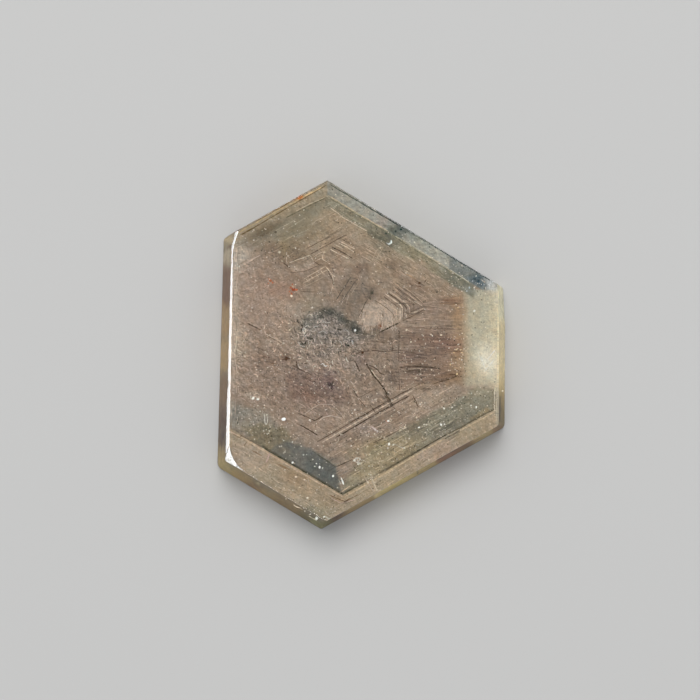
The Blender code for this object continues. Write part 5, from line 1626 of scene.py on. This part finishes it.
def crumpled(nt, cycles, reach):
    """Difference of one noise at two nearby places: lit and shaded creases."""
    where = nt.nodes.new("ShaderNodeTexCoord")
    ends = []
    for way in (1, -1):
        move = nt.nodes.new("ShaderNodeMapping")
        move.inputs["Location"].default_value = (way * 0.6 * reach / 1000, way * 0.8 * reach / 1000, 0)
        link(nt, where.outputs["Object"], move.inputs["Vector"])
        tex = nt.nodes.new("ShaderNodeTexNoise")
        tex.inputs["Scale"].default_value = cycles * 1000
        tex.inputs["Detail"].default_value = 2.0
        tex.inputs["Roughness"].default_value = 0.6
        tex.inputs["Distortion"].default_value = 0.5
        link(nt, move.outputs["Vector"], tex.inputs["Vector"])
        ends.append(tex.outputs["Fac"])
    less = nt.nodes.new("ShaderNodeMath")
    less.operation = "SUBTRACT"
    link(nt, ends[0], less.inputs[0])
    link(nt, ends[1], less.inputs[1])
    return less.outputs["Value"]


def zones_material(name="silky_corundum", contrast=(0.84, 1.16)):
    """Silk-clouded corundum seen through the polish."""
    mat, nt, bsdf = material(name)
    attr = nt.nodes.new("ShaderNodeAttribute")
    attr.attribute_name = "zone"
    grain = noise_node(nt, GRAIN, 2.0, 0.6)
    # painted light and shade of the silk's creases
    crease_shade = nt.nodes.new("ShaderNodeMath")       # creases, as strong as the alpha says
    crease_shade.operation = "MULTIPLY"
    link(nt, crumpled(nt, CREASES, 0.04), crease_shade.inputs[0])
    link(nt, attr.outputs["Alpha"], crease_shade.inputs[1])
    lift = nt.nodes.new("ShaderNodeMath")
    lift.operation = "MULTIPLY_ADD"
    lift.inputs[1].default_value = CREASE_SHADE_GAIN
    link(nt, crease_shade.outputs["Value"], lift.inputs[0])
    link(nt, spread(nt, grain.outputs["Fac"], 0.30, 0.70, *contrast), lift.inputs[2])
    shade = nt.nodes.new("ShaderNodeVectorMath")
    shade.operation = "SCALE"
    link(nt, attr.outputs["Color"], shade.inputs[0])
    link(nt, lift.outputs["Value"], shade.inputs["Scale"])
    link(nt, shade.outputs["Vector"], bsdf.inputs["Base Color"])
    bsdf.inputs["Roughness"].default_value = 0.9
    bsdf.inputs["IOR"].default_value = 1.0
    bsdf.inputs["Specular IOR Level"].default_value = 0.0
    return mat


def dust_material():
    """Loose dust and lint: matt, a little uneven."""
    mat, nt, bsdf = material("dust_and_lint")
    attr = nt.nodes.new("ShaderNodeAttribute")
    attr.attribute_name = "zone"
    grain = noise_node(nt, 12.0, 2.0, 0.6)
    mix = nt.nodes.new("ShaderNodeMix")
    mix.data_type = "RGBA"
    mix.blend_type = "MULTIPLY"
    mix.inputs["Factor"].default_value = 1.0
    link(nt, attr.outputs["Color"], mix.inputs["A"])
    link(nt, spread(nt, grain.outputs["Fac"], 0.30, 0.70, 0.9, 1.08), mix.inputs["B"])
    link(nt, mix.outputs["Result"], bsdf.inputs["Base Color"])
    link(nt, spread(nt, grain.outputs["Fac"], 0.3, 0.7, 0.75, 0.95), bsdf.inputs["Roughness"])
    bsdf.inputs["IOR"].default_value = 1.5
    return mat


# ============================================================ scene
def floor_and_light():
    mesh = bpy.data.meshes.new("floor")
    s = 0.6
    mesh.from_pydata([(-s, -s, 0), (s, -s, 0), (s, s, 0), (-s, s, 0)], [], [(0, 1, 2, 3)])
    floor = bpy.data.objects.new("floor", mesh)
    floor.location.z = -0.00002
    bpy.context.scene.collection.objects.link(floor)
    mat, nt, bsdf = material("pale_floor")
    bsdf.inputs["Base Color"].default_value = (0.525, 0.520, 0.510, 1.0)
    bsdf.inputs["Roughness"].default_value = 0.95
    bsdf.inputs["Specular IOR Level"].default_value = 0.1
    mesh.materials.append(mat)

    world = bpy.data.worlds.new("studio")
    bpy.context.scene.world = world
    world.use_nodes = True
    world.node_tree.nodes["Background"].inputs["Color"].default_value = (0.96, 0.98, 1.0, 1.0)
    # the studio is dimmer right overhead, which keeps the polish clear
    wt = world.node_tree
    up = wt.nodes.new("ShaderNodeSeparateXYZ")
    way = wt.nodes.new("ShaderNodeTexCoord")
    wt.links.new(way.outputs["Generated"], up.inputs["Vector"])
    fade = wt.nodes.new("ShaderNodeMapRange")
    fade.interpolation_type = "SMOOTHSTEP"
    fade.inputs["From Min"].default_value = 0.78
    fade.inputs["From Max"].default_value = 0.96
    fade.inputs["To Min"].default_value = 0.70
    fade.inputs["To Max"].default_value = 0.30
    wt.links.new(up.outputs["Z"], fade.inputs["Value"])
    wt.links.new(fade.outputs["Result"], wt.nodes["Background"].inputs["Strength"])

    def softbox(name, loc, size, power, target=(0, 0, 0.001)):
        light = bpy.data.lights.new(name, "AREA")
        light.shape = "RECTANGLE"
        light.size, light.size_y = size
        light.energy = power
        obj = bpy.data.objects.new(name, light)
        obj.location = loc
        to = Vector(target) - Vector(loc)
        obj.rotation_mode = "QUATERNION"
        obj.rotation_quaternion = to.to_track_quat("-Z", "Y")
        bpy.context.scene.collection.objects.link(obj)
        return obj

    softbox("key_softbox", (-0.02, 0.345, 0.57), (0.46, 0.46), 3.1)
    # a low curved strip, seen only as the gloss on the left-hand bevel
    for k in range(5):
        az, up, far = math.radians(150.0 + 22.5 * k), math.radians(36.5), 0.6
        loc = (far * math.cos(up) * math.cos(az), far * math.cos(up) * math.sin(az),
               far * math.sin(up))
        strip = softbox("bevel_strip_%d" % k, loc, (0.205, 0.20), 1.30)
        strip.visible_diffuse = False
        strip.visible_transmission = False


def camera():
    cam = bpy.data.cameras.new("camera")
    obj = bpy.data.objects.new("camera", cam)
    bpy.context.scene.collection.objects.link(obj)
    cam.sensor_width = 36.0
    cam.lens = 36.0 * CAM_DIST / (700.0 * UNIT)
    cam.clip_start, cam.clip_end = 0.01, 5.0
    obj.location = CAM_POS * MM
    obj.rotation_mode = "QUATERNION"
    obj.rotation_quaternion = Vector(FWD).to_track_quat("-Z", "Y")
    bpy.context.scene.camera = obj
    return obj


def main():
    scene = bpy.context.scene
    scene.view_settings.view_transform = "Standard"
    # light is scattered many times between the silk and the polish
    scene.cycles.max_bounces = 32
    scene.cycles.diffuse_bounces = 24
    scene.cycles.transmission_bounces = 24
    scene.cycles.glossy_bounces = 16
    skin = build_skin()
    skin.data.materials.append(crystal_material())
    skin.data.materials.append(wall_material())
    skin.data.materials.append(facet_material())
    zones = build_zones()
    zones.data.materials.append(zones_material())
    lines = build_lines()
    lines.data.materials.append(zones_material("growth_line_silk", (0.85, 1.15)))
    specks = build_specks()
    specks.data.materials.append(zones_material("fluid_and_iron", (0.92, 1.08)))
    lint, dust = build_lint(), build_dust()
    loose = dust_material()
    lint.data.materials.append(loose)
    dust.data.materials.append(loose)
    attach(skin, "root")
    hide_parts(NODE)
    for sealed in (zones, lines, specks, lint, dust):
        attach(sealed, "root")
    floor_and_light()
    camera()


main()
